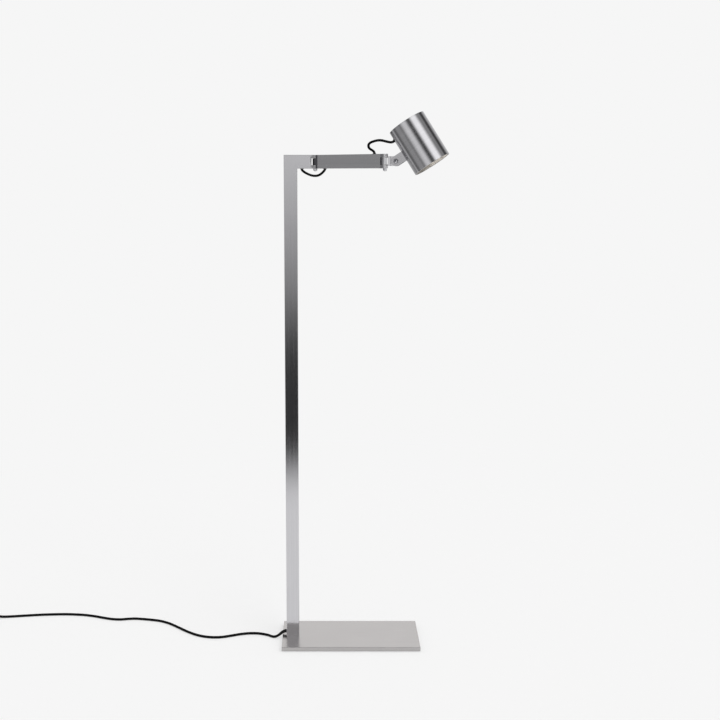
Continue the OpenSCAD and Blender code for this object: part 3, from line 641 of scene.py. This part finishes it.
# %% Stepped reflector at the mouth
CONE_FROM, CONE_TO, CONE_STEPS = (25.4, -26.2), (38.1, -45.6), 9
STEP_OUT = (0.22 * 0.84, 0.22 * 0.55)  # how far a step stands out of the cone
cone = []
for i in range(CONE_STEPS):
    for share, out in ((i, 0), (i + 0.15, 1), (i + 0.85, 1)):
        cone.append([a + (b - a) * share / CONE_STEPS + out * step
                     for a, b, step in zip(CONE_FROM, CONE_TO, STEP_OUT)])
reflector_rings = ([(23.4, -25.3), (23.4, -26.2)] + cone
                   + [CONE_TO, (38.7, -45.95), (39.2, -45.6), (39.2, -44.2), (38.7, -44.2),
                      (26.3, -25.3), (23.4, -25.3)])
reflector = turned("stepped_reflector", reflector_rings, 128, 20.0, SHADE)
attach(reflector, "head")
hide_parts("front_reflector")
print("Reflector rings:", len(reflector_rings), "faces:", len(reflector.data.polygons))

# %% Pressed lens
lens_rings = [(23.4, -23.0), (23.8, -23.2), (23.85, -23.9), (23.7, -24.4), (23.0, -24.55)]
for i in range(10):
    outer = 22.4 - i * 2.1
    lens_rings += [(outer, -24.75), (outer - 0.7, -24.9), (outer - 1.5, -24.75),
                   (outer - 1.8, -24.5)]
lens_rings.append((0.4, -24.6))
lens = turned("pressed_lens", lens_rings, 96, 40.0, SHADE)
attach(lens, "head")
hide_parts("bulb_lens")
print("Lens faces:", len(lens.data.polygons))

# %% Body of the lamp
body_rings = [(9.0, 21.4), (9.0, 15.0)]
for i in range(12):
    share = i / 11
    body_rings.append((11.5 + 12.9 * math.sin(share * math.pi / 2) ** 0.9 + (i % 2) * 0.25,
                       12.0 - 33.0 * share))
body_rings += [(24.7, -21.4), (25.0, -22.0), (25.0, -25.0), (24.8, -25.2), (23.9, -25.2),
               (23.9, -23.1), (22.0, -23.0), (0.4, -23.0)]
lamp_body = turned("lamp_body", body_rings, 96, 40.0, SHADE)
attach(lamp_body, "head")
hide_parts("bulb_body")
print("Lamp body faces:", len(lamp_body.data.polygons))

# %% [markdown]
# ## The foot switch and the plug
# The switch is a small moulded box with a rocker, and its housing comes from the
# softened copies above. Its two cord sleeves are turned with ribs and laid along the
# cord. The plug is a flat moulded body: a cube is stretched, its cord end is drawn in
# and its sides get grip ribs.

# %% Ribbed sleeves of the foot switch
def ribs(count, start, length, wide, narrow, profile):
    """A row of ribs with one profile, on a sleeve that grows thinner."""
    return [(wide - (wide - narrow) * i / count - inward, start + i * length / count + up)
            for i in range(count) for inward, up in profile]


sleeve_rings = [(3.3, 0.0), (3.35, 0.2), (3.35, 4.4), (4.4, 4.45),
                *ribs(6, 4.6, 19.0, 4.4, 3.55, ((0, 0), (0.05, 2.0), (0.5, 2.15), (0.5, 3.0))),
                (3.4, 23.9), (3.35, 24.4)]
switch_sleeves = []
for name, angle in (("switch_sleeve_right", 0.0), ("switch_sleeve_left", 180.0)):
    at_cord = Matrix.Translation(SWITCH) @ turn_z(angle) @ shift(22.6) @ turn_y(90)
    sleeve = turned(name, sleeve_rings, 32, 40.0, at_cord)
    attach(sleeve, "stand")
    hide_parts("switch_reliefs")
    switch_sleeves.append(sleeve)
print("Sleeve rings:", len(sleeve_rings))

# %% Plug body
PLUG = Matrix.Translation(Vector((-950, 23, 7)) * MM) @ turn_z(180)
plug = box("moulded_plug", (12, 26.4, 14), (6, 0, 0))
bpy.ops.object.mode_set(mode="EDIT")
for out_by, narrow, flat_by in ((7.0, 0.64, 0.95), (3.0, 0.7, 0.92)):
    bpy.ops.mesh.select_all(action="DESELECT")
    bpy.ops.object.mode_set(mode="OBJECT")
    far = max(p.center.x for p in plug.data.polygons)
    for p in plug.data.polygons:
        p.select = abs(p.center.x - far) < MERGE
    bpy.ops.object.mode_set(mode="EDIT")
    bpy.ops.mesh.extrude_region_move(TRANSFORM_OT_translate={"value": (out_by * MM, 0, 0)})
    bpy.ops.transform.resize(value=(1, narrow, flat_by), center_override=(0, 0, 0))
bpy.ops.object.mode_set(mode="OBJECT")
add_bevel(plug, 1.4, 4, 25.0)
apply_all(plug)
shade_by_angle(plug, 40.0)
flat_faces(plug)
place(plug, PLUG)
settle(plug, "moulded_plug")
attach(plug, "stand")
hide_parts("plug_body")
print("Plug faces:", len(plug.data.polygons))

# %% Plug sleeve, grip ribs and pin sleeves
plug_sleeve_rings = [(4.6, 0.0), (5.0, 0.3),
                     *ribs(5, 0.8, 17.0, 5.0, 3.45, ((0, 0), (0.1, 2.1), (0.6, 2.3), (0.6, 3.2))),
                     (3.4, 17.7), (3.35, 18.0)]
plug_bits = [turned("plug_sleeve", plug_sleeve_rings, 32, 40.0,
                    PLUG @ shift(22) @ turn_y(90))]
for letter, side in (("a", -1), ("b", 1)):
    at_pin = PLUG @ shift(0, side * 9.3) @ turn_y(-90)
    pin_rings = [(1.7, 0), (1.9, 0.15), (1.9, 9.85), (1.75, 10)]
    plug_bits.append(turned("pin_sleeve_" + letter, pin_rings, 32, 30.0, at_pin))
    for k in range(4):
        at_rib = PLUG @ shift(2.6 + k * 2.4, side * 13.0)
        plug_bits.append(small_bar("grip_rib_" + letter + str(k), (1.1, 0.9, 9), 0.3, at_rib))
for bit in plug_bits:
    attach(bit, "stand")
print("Small pieces on the plug:", len(plug_bits))

# %% Grip ridges on the rocker
ROCK = Matrix.Translation(Vector((-947, 116, 11.4)) * MM) @ turn_y(-8)
MIDDLE_Z, END_Z, END_X = 3.4, 4.6, 9.2  # the rocker's top rises toward its ends
ridges = []
for k, x in enumerate((-7.6, -6.2, -4.8)):
    height = MIDDLE_Z + (END_Z - MIDDLE_Z) * abs(x) / END_X + 0.15
    ridges.append(small_bar("rocker_ridge_" + str(k), (0.6, 8.4, 0.7), 0.2,
                            ROCK @ shift(x, 0, height)))
    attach(ridges[-1], "rocker")
print("Ridges:", len(ridges))

# %% [markdown]
# ## The floor and the plain light
# A pale floor carries a soft shadow. It fades into the pale backdrop with distance, so
# no horizon shows. One wide sun lamp and an even world give plain light.

# %% Floor
floor = settle(added(bpy.ops.mesh.primitive_plane_add, size=24.0), "studio_floor")
floor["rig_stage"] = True
PAPER = 0.9216  # the backdrop's tone, 246 of 255 on a screen
FLOOR_WHITE = 0.9
FADE_FROM, FADE_TO = 1.1, 1.9  # metres from the middle of the floor


def new_material(name):
    material = bpy.data.materials.new(name)
    material.use_nodes = True
    tree = material.node_tree
    return material, tree.nodes, tree.links


def feed(links, slot, value):
    """A number is set on the socket, and another node's output is linked to it."""
    if isinstance(value, (int, float)):
        slot.default_value = value
    else:
        links.new(value, slot)


def math_node(n, links, operation, *values):
    node = n.new("ShaderNodeMath")
    node.operation = operation
    for slot, value in zip(node.inputs, values):
        feed(links, slot, value)
    return node.outputs[0]


def ranged(n, links, value, start, end, to_start=0.0, to_end=1.0, kind="SMOOTHSTEP"):
    """From start to end the value runs from to_start to to_end, and it stays between."""
    node = n.new("ShaderNodeMapRange")
    node.interpolation_type = kind
    for slot, number in (("From Min", start), ("From Max", end),
                         ("To Min", to_start), ("To Max", to_end)):
        node.inputs[slot].default_value = number
    links.new(value, node.inputs["Value"])
    return node.outputs["Result"]


def mix_shaders(n, links, share, first, second):
    mix = n.new("ShaderNodeMixShader")
    for slot, value in zip(mix.inputs, (share, first, second)):
        feed(links, slot, value)
    return mix.outputs[0]


floor_mat, n, links = new_material("pale_floor")
n.clear()
out = n.new("ShaderNodeOutputMaterial")
diffuse = n.new("ShaderNodeBsdfDiffuse")
backdrop = n.new("ShaderNodeEmission")
backdrop.inputs["Color"].default_value = (PAPER, PAPER, PAPER, 1)
clear = n.new("ShaderNodeBsdfTransparent")
coords = n.new("ShaderNodeTexCoord")
length = n.new("ShaderNodeVectorMath")
length.operation = "LENGTH"
links.new(coords.outputs["Object"], length.inputs[0])
far = ranged(n, links, length.outputs["Value"], FADE_FROM, FADE_TO)
rays = n.new("ShaderNodeLightPath")

# %% [markdown]
# The near floor is a plain matt white that takes the shadow. For the camera, a part of
# its tone comes from a faint glow instead of the light on it, so that it meets the
# backdrop without an edge and the shadow stays light. For the metal that mirrors it,
# a little glow is added.

# %% Floor as the camera and the metal see it
LESS_WHITE, CAMERA_GLOW, MIRROR_GLOW = 0.45, 0.527, 0.12
for_camera = rays.outputs["Is Camera Ray"]
for_mirror = rays.outputs["Is Glossy Ray"]
paper_tone = math_node(n, links, "SUBTRACT", FLOOR_WHITE,
                       math_node(n, links, "MULTIPLY", for_camera, LESS_WHITE))
links.new(paper_tone, diffuse.inputs["Color"])
lift = n.new("ShaderNodeEmission")
links.new(math_node(n, links, "ADD",
                    math_node(n, links, "MULTIPLY", for_camera, CAMERA_GLOW),
                    math_node(n, links, "MULTIPLY", for_mirror, MIRROR_GLOW)),
          lift.inputs["Strength"])
matt = n.new("ShaderNodeAddShader")
links.new(diffuse.outputs[0], matt.inputs[0])
links.new(lift.outputs[0], matt.inputs[1])
seen = mix_shaders(n, links, far, matt.outputs[0], backdrop.outputs[0])
mirrored = mix_shaders(n, links, far, matt.outputs[0], clear.outputs[0])
both = mix_shaders(n, links, for_mirror, seen, mirrored)
links.new(both, out.inputs["Surface"])
floor.data.materials.append(floor_mat)
print("Floor nodes:", len(n))

# %% Lamps
sun_data = bpy.data.lights.new("soft_sun", "SUN")
sun_data.energy = 1.0
sun_data.angle = math.radians(40.0)
sun = bpy.data.objects.new("soft_sun", sun_data)
sun.rotation_euler = (math.radians(22.0), math.radians(28.0), 0.0)
bpy.context.scene.collection.objects.link(sun)
sun.visible_glossy = False
print("Sun strength:", sun_data.energy)

# %% [markdown]
# ## The studio that the metal mirrors
# Bright metal shows its surroundings more than its own colour. A photographer places
# pale screens and dark flags round it. Here the world paints them by direction for
# mirrored rays only, while the camera sees the plain backdrop, and every other ray
# gets an even light. Azimuth 0 is toward the camera, and it grows to the right.

# %% World
world = bpy.data.worlds.new("studio")
bpy.context.scene.world = world
world.use_nodes = True
n, links = world.node_tree.nodes, world.node_tree.links
n.clear()
out = n.new("ShaderNodeOutputWorld")
coords = n.new("ShaderNodeTexCoord")
split = n.new("ShaderNodeSeparateXYZ")
links.new(coords.outputs["Generated"], split.inputs[0])
east, north, up = split.outputs
south = math_node(n, links, "MULTIPLY", north, -1.0)


def angle_of(operation, *values):
    """An inverse function's angle in degrees."""
    return math_node(n, links, "MULTIPLY", math_node(n, links, operation, *values),
                     180 / math.pi)


azimuth = angle_of("ARCTAN2", east, south)
elevation = angle_of("ARCSINE", up)


def fade(distance, soft):
    """1 well inside a screen, 0 well outside, and a soft edge between."""
    return ranged(n, links, distance, -soft / 2, soft / 2, 1.0, 0.0)


def over(below, level, share):
    mix = n.new("ShaderNodeMix")
    mix.data_type = "FLOAT"
    links.new(share, mix.inputs["Factor"])
    feed(links, mix.inputs["A"], below)
    feed(links, mix.inputs["B"], level)
    return mix.outputs["Result"]


def off_middle(value, middle, size):
    """How far a direction is outside a band of this size round its middle."""
    turn = math_node(n, links, "WRAP", math_node(n, links, "SUBTRACT", value, middle),
                     180.0, -180.0)
    return math_node(n, links, "SUBTRACT", math_node(n, links, "ABSOLUTE", turn), size / 2)


# %% Screens for the post, the arm and the base
SCREENS = [  # tone, then in degrees: azimuth, width, elevation, height and softness
    (0.03, -2, 99, -17.0, 19.0, 5), (0.75, -40, 33, -1.6, 16, 9),
    (0.96, 12.5, 101, 13, 28.5, 13), (1.30, 40, 45, 44, 25, 17),
    (0.86, 184, 86, 26.4, 67.8, 14.8)]
studio = 0.33
for tone, az, width, el, height, soft in SCREENS:
    edge = math_node(n, links, "MAXIMUM", off_middle(azimuth, az, width),
                     off_middle(elevation, el, height))
    studio = over(studio, tone, fade(edge, soft))
print("Screens:", len(SCREENS))

# %% [markdown]
# The round shade shows long strips side by side, like a row of tube lights hung in
# line with it. So a second set of screens is measured round the shade's own axis, and
# it fills only the narrow belt of directions that the shade mirrors to the camera.

# %% Long strips in line with the shade
shade_axis = -(SHADE.to_3x3() @ Vector((0, 0, 1))).normalized()
toward = Vector((0, -1, 0))
toward = (toward - shade_axis * shade_axis.dot(toward)).normalized()
aside = shade_axis.cross(toward)


def share_along(direction):
    node = n.new("ShaderNodeVectorMath")
    node.operation = "DOT_PRODUCT"
    links.new(coords.outputs["Generated"], node.inputs[0])
    node.inputs[1].default_value = direction
    return node.outputs["Value"]


around = angle_of("ARCTAN2", share_along(aside), share_along(toward))
along = angle_of("ARCSINE", share_along(shade_axis))
BELT_MIDDLE, BELT_WIDTH, BELT_SOFT = -3.6, 13.2, 2.0
STRIPS = [  # tone, then in degrees round the shade: middle, width and softness
    (0.35, 133, 23, 8), (0.16, 92, 27, 12), (0.35, 72, 28, 21), (0.27, 50, 18, 15),
    (0.85, 22, 28, 28), (0.09, -8, 22, 20), (1.31, -43, 36, 22), (0.31, -79, 16, 12),
    (0.07, -105, 28, 22), (0.71, -160, 45, 32)]
strips = 0.47
for tone, middle, width, soft in STRIPS:
    strips = over(strips, tone, fade(off_middle(around, middle, width), soft))
studio = over(studio, strips, fade(off_middle(along, BELT_MIDDLE, BELT_WIDTH), BELT_SOFT))
print("Strips round the shade:", len(STRIPS))

# %% What each kind of ray sees
EVEN_LIGHT = 0.62


def light_of(strength):
    light = n.new("ShaderNodeBackground")
    light.inputs["Color"].default_value = (1, 1, 1, 1)
    feed(links, light.inputs["Strength"], strength)
    return light.outputs[0]


rays = n.new("ShaderNodeLightPath")
shown = mix_shaders(n, links, rays.outputs["Is Glossy Ray"], light_of(EVEN_LIGHT),
                    light_of(studio))
shown = mix_shaders(n, links, rays.outputs["Is Camera Ray"], shown, light_of(PAPER))
links.new(shown, out.inputs["Surface"])
bpy.context.scene.view_settings.view_transform = "Standard"
print("World nodes:", len(n))

# %% [markdown]
# ## Satin nickel
# Brushed metal has fine streaks along one direction. A noise stretched a few hundred
# times along the grain changes the tone and the roughness a little and lifts the
# surface very slightly. The same streaks about eight times coarser are the strokes
# that still show from a distance, and a wide, soft noise adds faint clouds, as handling
# leaves. Each tube gets the grain along its own length, and the shade has it round its
# axis, as a tube that was polished while it turned.

# %% Nodes that metal and plastic share
NOISE_RANGE = (0.3, 0.7)  # most of a noise lies between these


def mapped(n, links, vector, **settings):
    node = n.new("ShaderNodeMapping")
    for setting, value in settings.items():
        node.inputs[setting].default_value = value
    links.new(vector, node.inputs["Vector"])
    return node.outputs["Vector"]


def noise(n, links, vector, scale, detail, roughness=0.5):
    node = n.new("ShaderNodeTexNoise")
    node.inputs["Scale"].default_value = scale
    node.inputs["Detail"].default_value = detail
    node.inputs["Roughness"].default_value = roughness
    links.new(vector, node.inputs["Vector"])
    return node.outputs["Fac"]


def uneven(n, links, pattern, tint, contrast, rough, spread):
    """The pattern makes the tint a little lighter or darker and the shine uneven."""
    shader = n["Principled BSDF"]
    colour = n.new("ShaderNodeMix")
    colour.data_type = "RGBA"
    for end, share in (("A", 1 - contrast), ("B", 1 + contrast)):
        colour.inputs[end].default_value = (*[min(1.0, c * share) for c in tint], 1)
    links.new(pattern, colour.inputs["Factor"])
    links.new(colour.outputs["Result"], shader.inputs["Base Color"])
    dull = ranged(n, links, pattern, *NOISE_RANGE, rough - spread, rough + spread, "LINEAR")
    links.new(dull, shader.inputs["Roughness"])


def raised(n, links, height, distance, strength=1.0):
    bump = n.new("ShaderNodeBump")
    bump.inputs["Strength"].default_value = strength
    bump.inputs["Distance"].default_value = distance * MM
    links.new(height, bump.inputs["Height"])
    links.new(bump.outputs["Normal"], n["Principled BSDF"].inputs["Normal"])


# %% Metal material
ALONG_GRAIN, CLOUD_SCALE, COARSER = 6.0, 14.0, 0.13
SHARES = (0.4, 0.4, 0.2)  # of streaks, strokes and clouds


def brushed(name, tint, rough, grain="x", turn=None, fine=2600.0, spread=0.05, lift=0.02):
    material, n, links = new_material(name)
    n["Principled BSDF"].inputs["Metallic"].default_value = 1.0
    coords = n.new("ShaderNodeTexCoord")
    angles = (0, 0, 0) if turn is None else turn.to_3x3().inverted().to_euler("XYZ")
    turned_to = mapped(n, links, coords.outputs["Object"], Rotation=angles)
    stretch = mapped(n, links, turned_to, Scale={
        "x": (ALONG_GRAIN, fine, fine), "z": (fine, fine, ALONG_GRAIN),
        "round": (ALONG_GRAIN, ALONG_GRAIN, fine)}[grain])
    streaks = noise(n, links, stretch, 1.0, 3.0, 0.6)
    strokes = noise(n, links, mapped(n, links, stretch, Scale=[COARSER] * 3), 1.0, 2.0)
    clouds = noise(n, links, turned_to, CLOUD_SCALE, 2.0)
    mixed = 0.0
    for pattern, share in zip((streaks, strokes, clouds), SHARES):
        mixed = math_node(n, links, "MULTIPLY_ADD", pattern, share, mixed)
    uneven(n, links, mixed, tint, 0.2, rough, spread)
    raised(n, links, streaks, lift, 0.25)
    return material


# %% The lamp's metals
NICKEL = (0.60, 0.595, 0.615)
nickel_post = brushed("satin_nickel_post", NICKEL, 0.12, "z", spread=0.03)
nickel_stub = brushed("satin_nickel_stub", NICKEL, 0.12, spread=0.03)
nickel_arm = brushed("satin_nickel_arm", NICKEL, 0.20, turn=ARM)
nickel_bracket = brushed("satin_nickel_bracket", NICKEL, 0.20, turn=BRACKET)
# The lug takes a darker copy of the nickel: painted shade.
lug_painted_shade = brushed("lug_painted_shade_nickel", (0.46, 0.455, 0.47), 0.24, turn=HEAD)
nickel_head = brushed("satin_nickel_head", NICKEL, 0.11, "round", SHADE, spread=0.03, lift=0.006)
nickel_base = brushed("satin_nickel_base", (0.585, 0.565, 0.56), 0.24)
# A darker copy of the base's nickel for its sides and underside: painted shade.
base_side_painted_shade = brushed("base_side_painted_shade_nickel", (0.48, 0.465, 0.465), 0.26)
# The hinge copies below are darker: painted shade beside the tubes, as where close faces mirror
# each other.
SHADOWED = (0.36, 0.355, 0.37)
arm_hinge_painted_shade = brushed("arm_hinge_painted_shade_steel", SHADOWED, 0.26, turn=ARM)
stub_hinge_painted_shade = brushed("stub_hinge_painted_shade_steel", (0.46, 0.455, 0.47), 0.24)
# The arm's tongue and the hexagon socket take this near-black copy of the steel: painted shade.
painted_shade_steel = brushed("tongue_painted_shade_steel", (0.17, 0.17, 0.185), 0.3, turn=ARM)
screw_metal = brushed("bright_screw", (0.66, 0.66, 0.68), 0.18, fine=700.0)
mirror_metal = brushed("spun_reflector", (0.66, 0.62, 0.56), 0.2, "round", SHADE, fine=900.0)
# The two bright copies below are painted highlights on the ear ends and on the bar.
painted_highlight_end = brushed("hinge_end_painted_highlight", (0.80, 0.79, 0.81), 0.45, turn=ARM)
painted_highlight_strip = brushed("bar_strip_painted_highlight", (0.93, 0.92, 0.93), 0.2, turn=BRACKET)
brass_metal = brushed("bright_brass", (0.78, 0.62, 0.32), 0.22, fine=900.0)
print("Materials so far:", len(bpy.data.materials))

# %% [markdown]
# ## Plastics, rubber and the lamp
# The cords are soft, nearly black plastic with little shine. The rubber and the moulded
# plastic have a finer texture and shine more. The lamp's lens glows warm and pale.

# %% Soft and moulded materials
def moulded(name, tint, rough, grain, lift, spread=0.06, sheen=0.5):
    material, n, links = new_material(name)
    n["Principled BSDF"].inputs["Specular IOR Level"].default_value = sheen
    coords = n.new("ShaderNodeTexCoord")
    speckle = noise(n, links, coords.outputs["Object"], grain, 4.0)
    uneven(n, links, speckle, tint, 0.15, rough, spread)
    raised(n, links, speckle, lift, 0.35)
    return material


sheath = moulded("black_sheath", (0.003, 0.003, 0.0033), 0.65, 900.0, 0.03, sheen=0.1)
rubber = moulded("black_rubber", (0.010, 0.010, 0.010), 0.62, 1500.0, 0.05, sheen=0.3)
black_plastic = moulded("black_plastic", (0.014, 0.014, 0.015), 0.45, 2200.0, 0.05, sheen=0.4)
pale_plastic = moulded("pale_nylon", (0.62, 0.62, 0.60), 0.4, 900.0, 0.02)
ceramic = moulded("glazed_ceramic", (0.80, 0.79, 0.76), 0.2, 300.0, 0.01)

# %% Glowing lens
lens_mat, n, links = new_material("frosted_lens")
shader = n["Principled BSDF"]
shader.inputs["Roughness"].default_value = 0.25
coords = n.new("ShaderNodeTexCoord")
pebbles = n.new("ShaderNodeTexVoronoi")
pebbles.inputs["Scale"].default_value = 420.0
links.new(coords.outputs["Object"], pebbles.inputs["Vector"])
glow = n.new("ShaderNodeMix")
glow.data_type = "RGBA"
glow.inputs["A"].default_value = (1.0, 0.93, 0.80, 1)
glow.inputs["B"].default_value = (1.0, 0.84, 0.62, 1)
links.new(pebbles.outputs["Distance"], glow.inputs["Factor"])
links.new(glow.outputs["Result"], shader.inputs["Base Color"])
links.new(glow.outputs["Result"], shader.inputs["Emission Color"])
shader.inputs["Emission Strength"].default_value = 2.2
raised(n, links, pebbles.outputs["Distance"], 0.2)

# %% [markdown]
# ## Giving every piece its finish
# Each piece takes one material. The base takes a second one on its sides and below, a darker copy
# of its nickel that is painted shade.

# %% Finishes
dressed = []


def dress(piece, material):
    piece.data.materials.clear()
    piece.data.materials.append(material)
    dressed.append(piece.name)


FINISHES = [
    (nickel_post, "satin_steel", "post_tube foot_block"),
    (nickel_stub, "satin_steel", "stub_tube stub_clevis"),
    # The tongue's near-black steel is painted shade.
    (painted_shade_steel, "satin_steel", "arm_tongue"),
    (nickel_arm, "satin_steel", "arm_tube arm_clevis"),
    (nickel_bracket, "satin_steel", "bracket_bar"),
    # The lug's darker nickel is painted shade.
    (lug_painted_shade, "satin_steel", "head_lug"),
    (screw_metal, "satin_steel", "holder_spacers"),
    (screw_metal, "screw_steel", "stub_screw arm_screw tilt_screw stub_nut arm_nut tilt_nut "
                                 "lug_screws base_screws switch_screws"),
    (brass_metal, "brass", "plug_pins bulb_pins"),
    (rubber, "black_rubber", "cord_gland stub_grommet arm_grommets shade_grommet"),
    (rubber, "pad_rubber", "base_pad"),
    (pale_plastic, "washer_plastic", "stub_washers arm_washers"),
    (ceramic, "white_plastic", "lamp_holder"),
    (black_plastic, "black_plastic", "switch_base switch_cover switch_rocker cord_tie"),
]
for material, slot_name, names in FINISHES:
    for node in names.split():
        dress(parts[node], material)
dress(slab, nickel_base)
# The sides and underside take the darker copy: painted shade.
slab.data.materials.append(base_side_painted_shade)
for face in slab.data.polygons:
    if face.normal.z < 0.5:
        face.material_index = 1
dress(shade, nickel_head)
dress(cap, nickel_head)
dress(reflector, mirror_metal)
dress(lens, lens_mat)
dress(lamp_body, ceramic)
dress(relief, rubber)
for piece in (plug, *switch_sleeves, *plug_bits, *ridges):
    dress(piece, black_plastic)
cords = (floor_cord, stored_cord, elbow_loop, head_loop_lower, head_loop_upper, *inner_cables)
for piece in cords:
    dress(piece, sheath)
print("Finished pieces:", len(dressed))

# %% [markdown]
# In the photograph the hinge halves are darker beside the tubes, as where two close faces mirror
# each other. That darkness is painted shade: the split is made with Bisect in the hinge's own
# directions, and the faces from the flange to about the pin take a darker copy of the steel.

# %% Painted shade on the hinge flats
def second_tone(piece, material, where, low, high):
    """Faces that lie between low and high (mm along X from the pin) take the material."""
    work_on(piece)
    bpy.ops.object.mode_set(mode="EDIT")
    for x in (low, high):
        bpy.ops.mesh.select_all(action="SELECT")
        bpy.ops.mesh.bisect(plane_co=where @ Vector((x * MM, 0, 0)),
                            plane_no=where.to_3x3() @ Vector((1, 0, 0)))
    bpy.ops.object.mode_set(mode="OBJECT")
    piece.data.materials.append(material)
    newest = len(piece.data.materials) - 1
    back = where.inverted()
    count = 0
    for p in piece.data.polygons:
        if low * MM < (back @ p.center).x < high * MM:
            p.material_index = newest
            count += 1
    return count


FLANGE_X = -8.3
AT_PIN_1, AT_PIN_2 = Matrix.Translation(PIN_1), Matrix.Translation(PIN_2) @ turn_z(-ARM_TURN)
print("Darker faces:",
      second_tone(parts["stub_clevis"], stub_hinge_painted_shade, AT_PIN_1, FLANGE_X, 2.0),
      second_tone(parts["arm_clevis"], arm_hinge_painted_shade, AT_PIN_2, FLANGE_X, -1.0))

# %% [markdown]
# In the photograph the rounded ends of the second hinge's ears are brighter, a strip of the bar
# beside them is nearly white, and the hexagon in the tilt screw is dark. The strip may be a gap.
# The ear ends and the strip get a painted highlight and the hexagon's recess gets painted shade,
# each from a finish of its own, and the shapes stay as they are.

# %% Painted highlights on the ear ends and the bar, painted shade in the hexagon
print("Brighter faces:", second_tone(parts["arm_clevis"], painted_highlight_end, AT_PIN_2, 2.5, 9.0),
      second_tone(parts["bracket_bar"], painted_highlight_strip, BRACKET, 5.2, 7.4))
screw = parts["tilt_screw"]
# The faces inside the hexagon socket take painted shade.
screw.data.materials.append(painted_shade_steel)
from_head = HEAD.inverted()
HEX_REACH = 1.9 * MM
for face in screw.data.polygons:
    spot = from_head @ face.center
    if math.hypot(spot.x, spot.z) < HEX_REACH and spot.y < 0:
        face.material_index = 1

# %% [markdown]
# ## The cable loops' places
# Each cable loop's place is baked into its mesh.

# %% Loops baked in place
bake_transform(elbow_loop)
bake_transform(head_loop_lower)
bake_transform(head_loop_upper)

# %% [markdown]
# ## Checking the size
# The looks should fill the same box as the CAD model, so both boxes are written out
# and their greatest difference is printed.

# %% Sizes and finish
low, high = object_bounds()
print("Looks box in metres:", [round(x, 4) for x in (*low, *high)])
apart = [abs(a - b) / MM for a, b in zip((*low, *high), (*cad_low, *cad_high))]
print("Greatest difference in mm:", round(max(apart), 2))
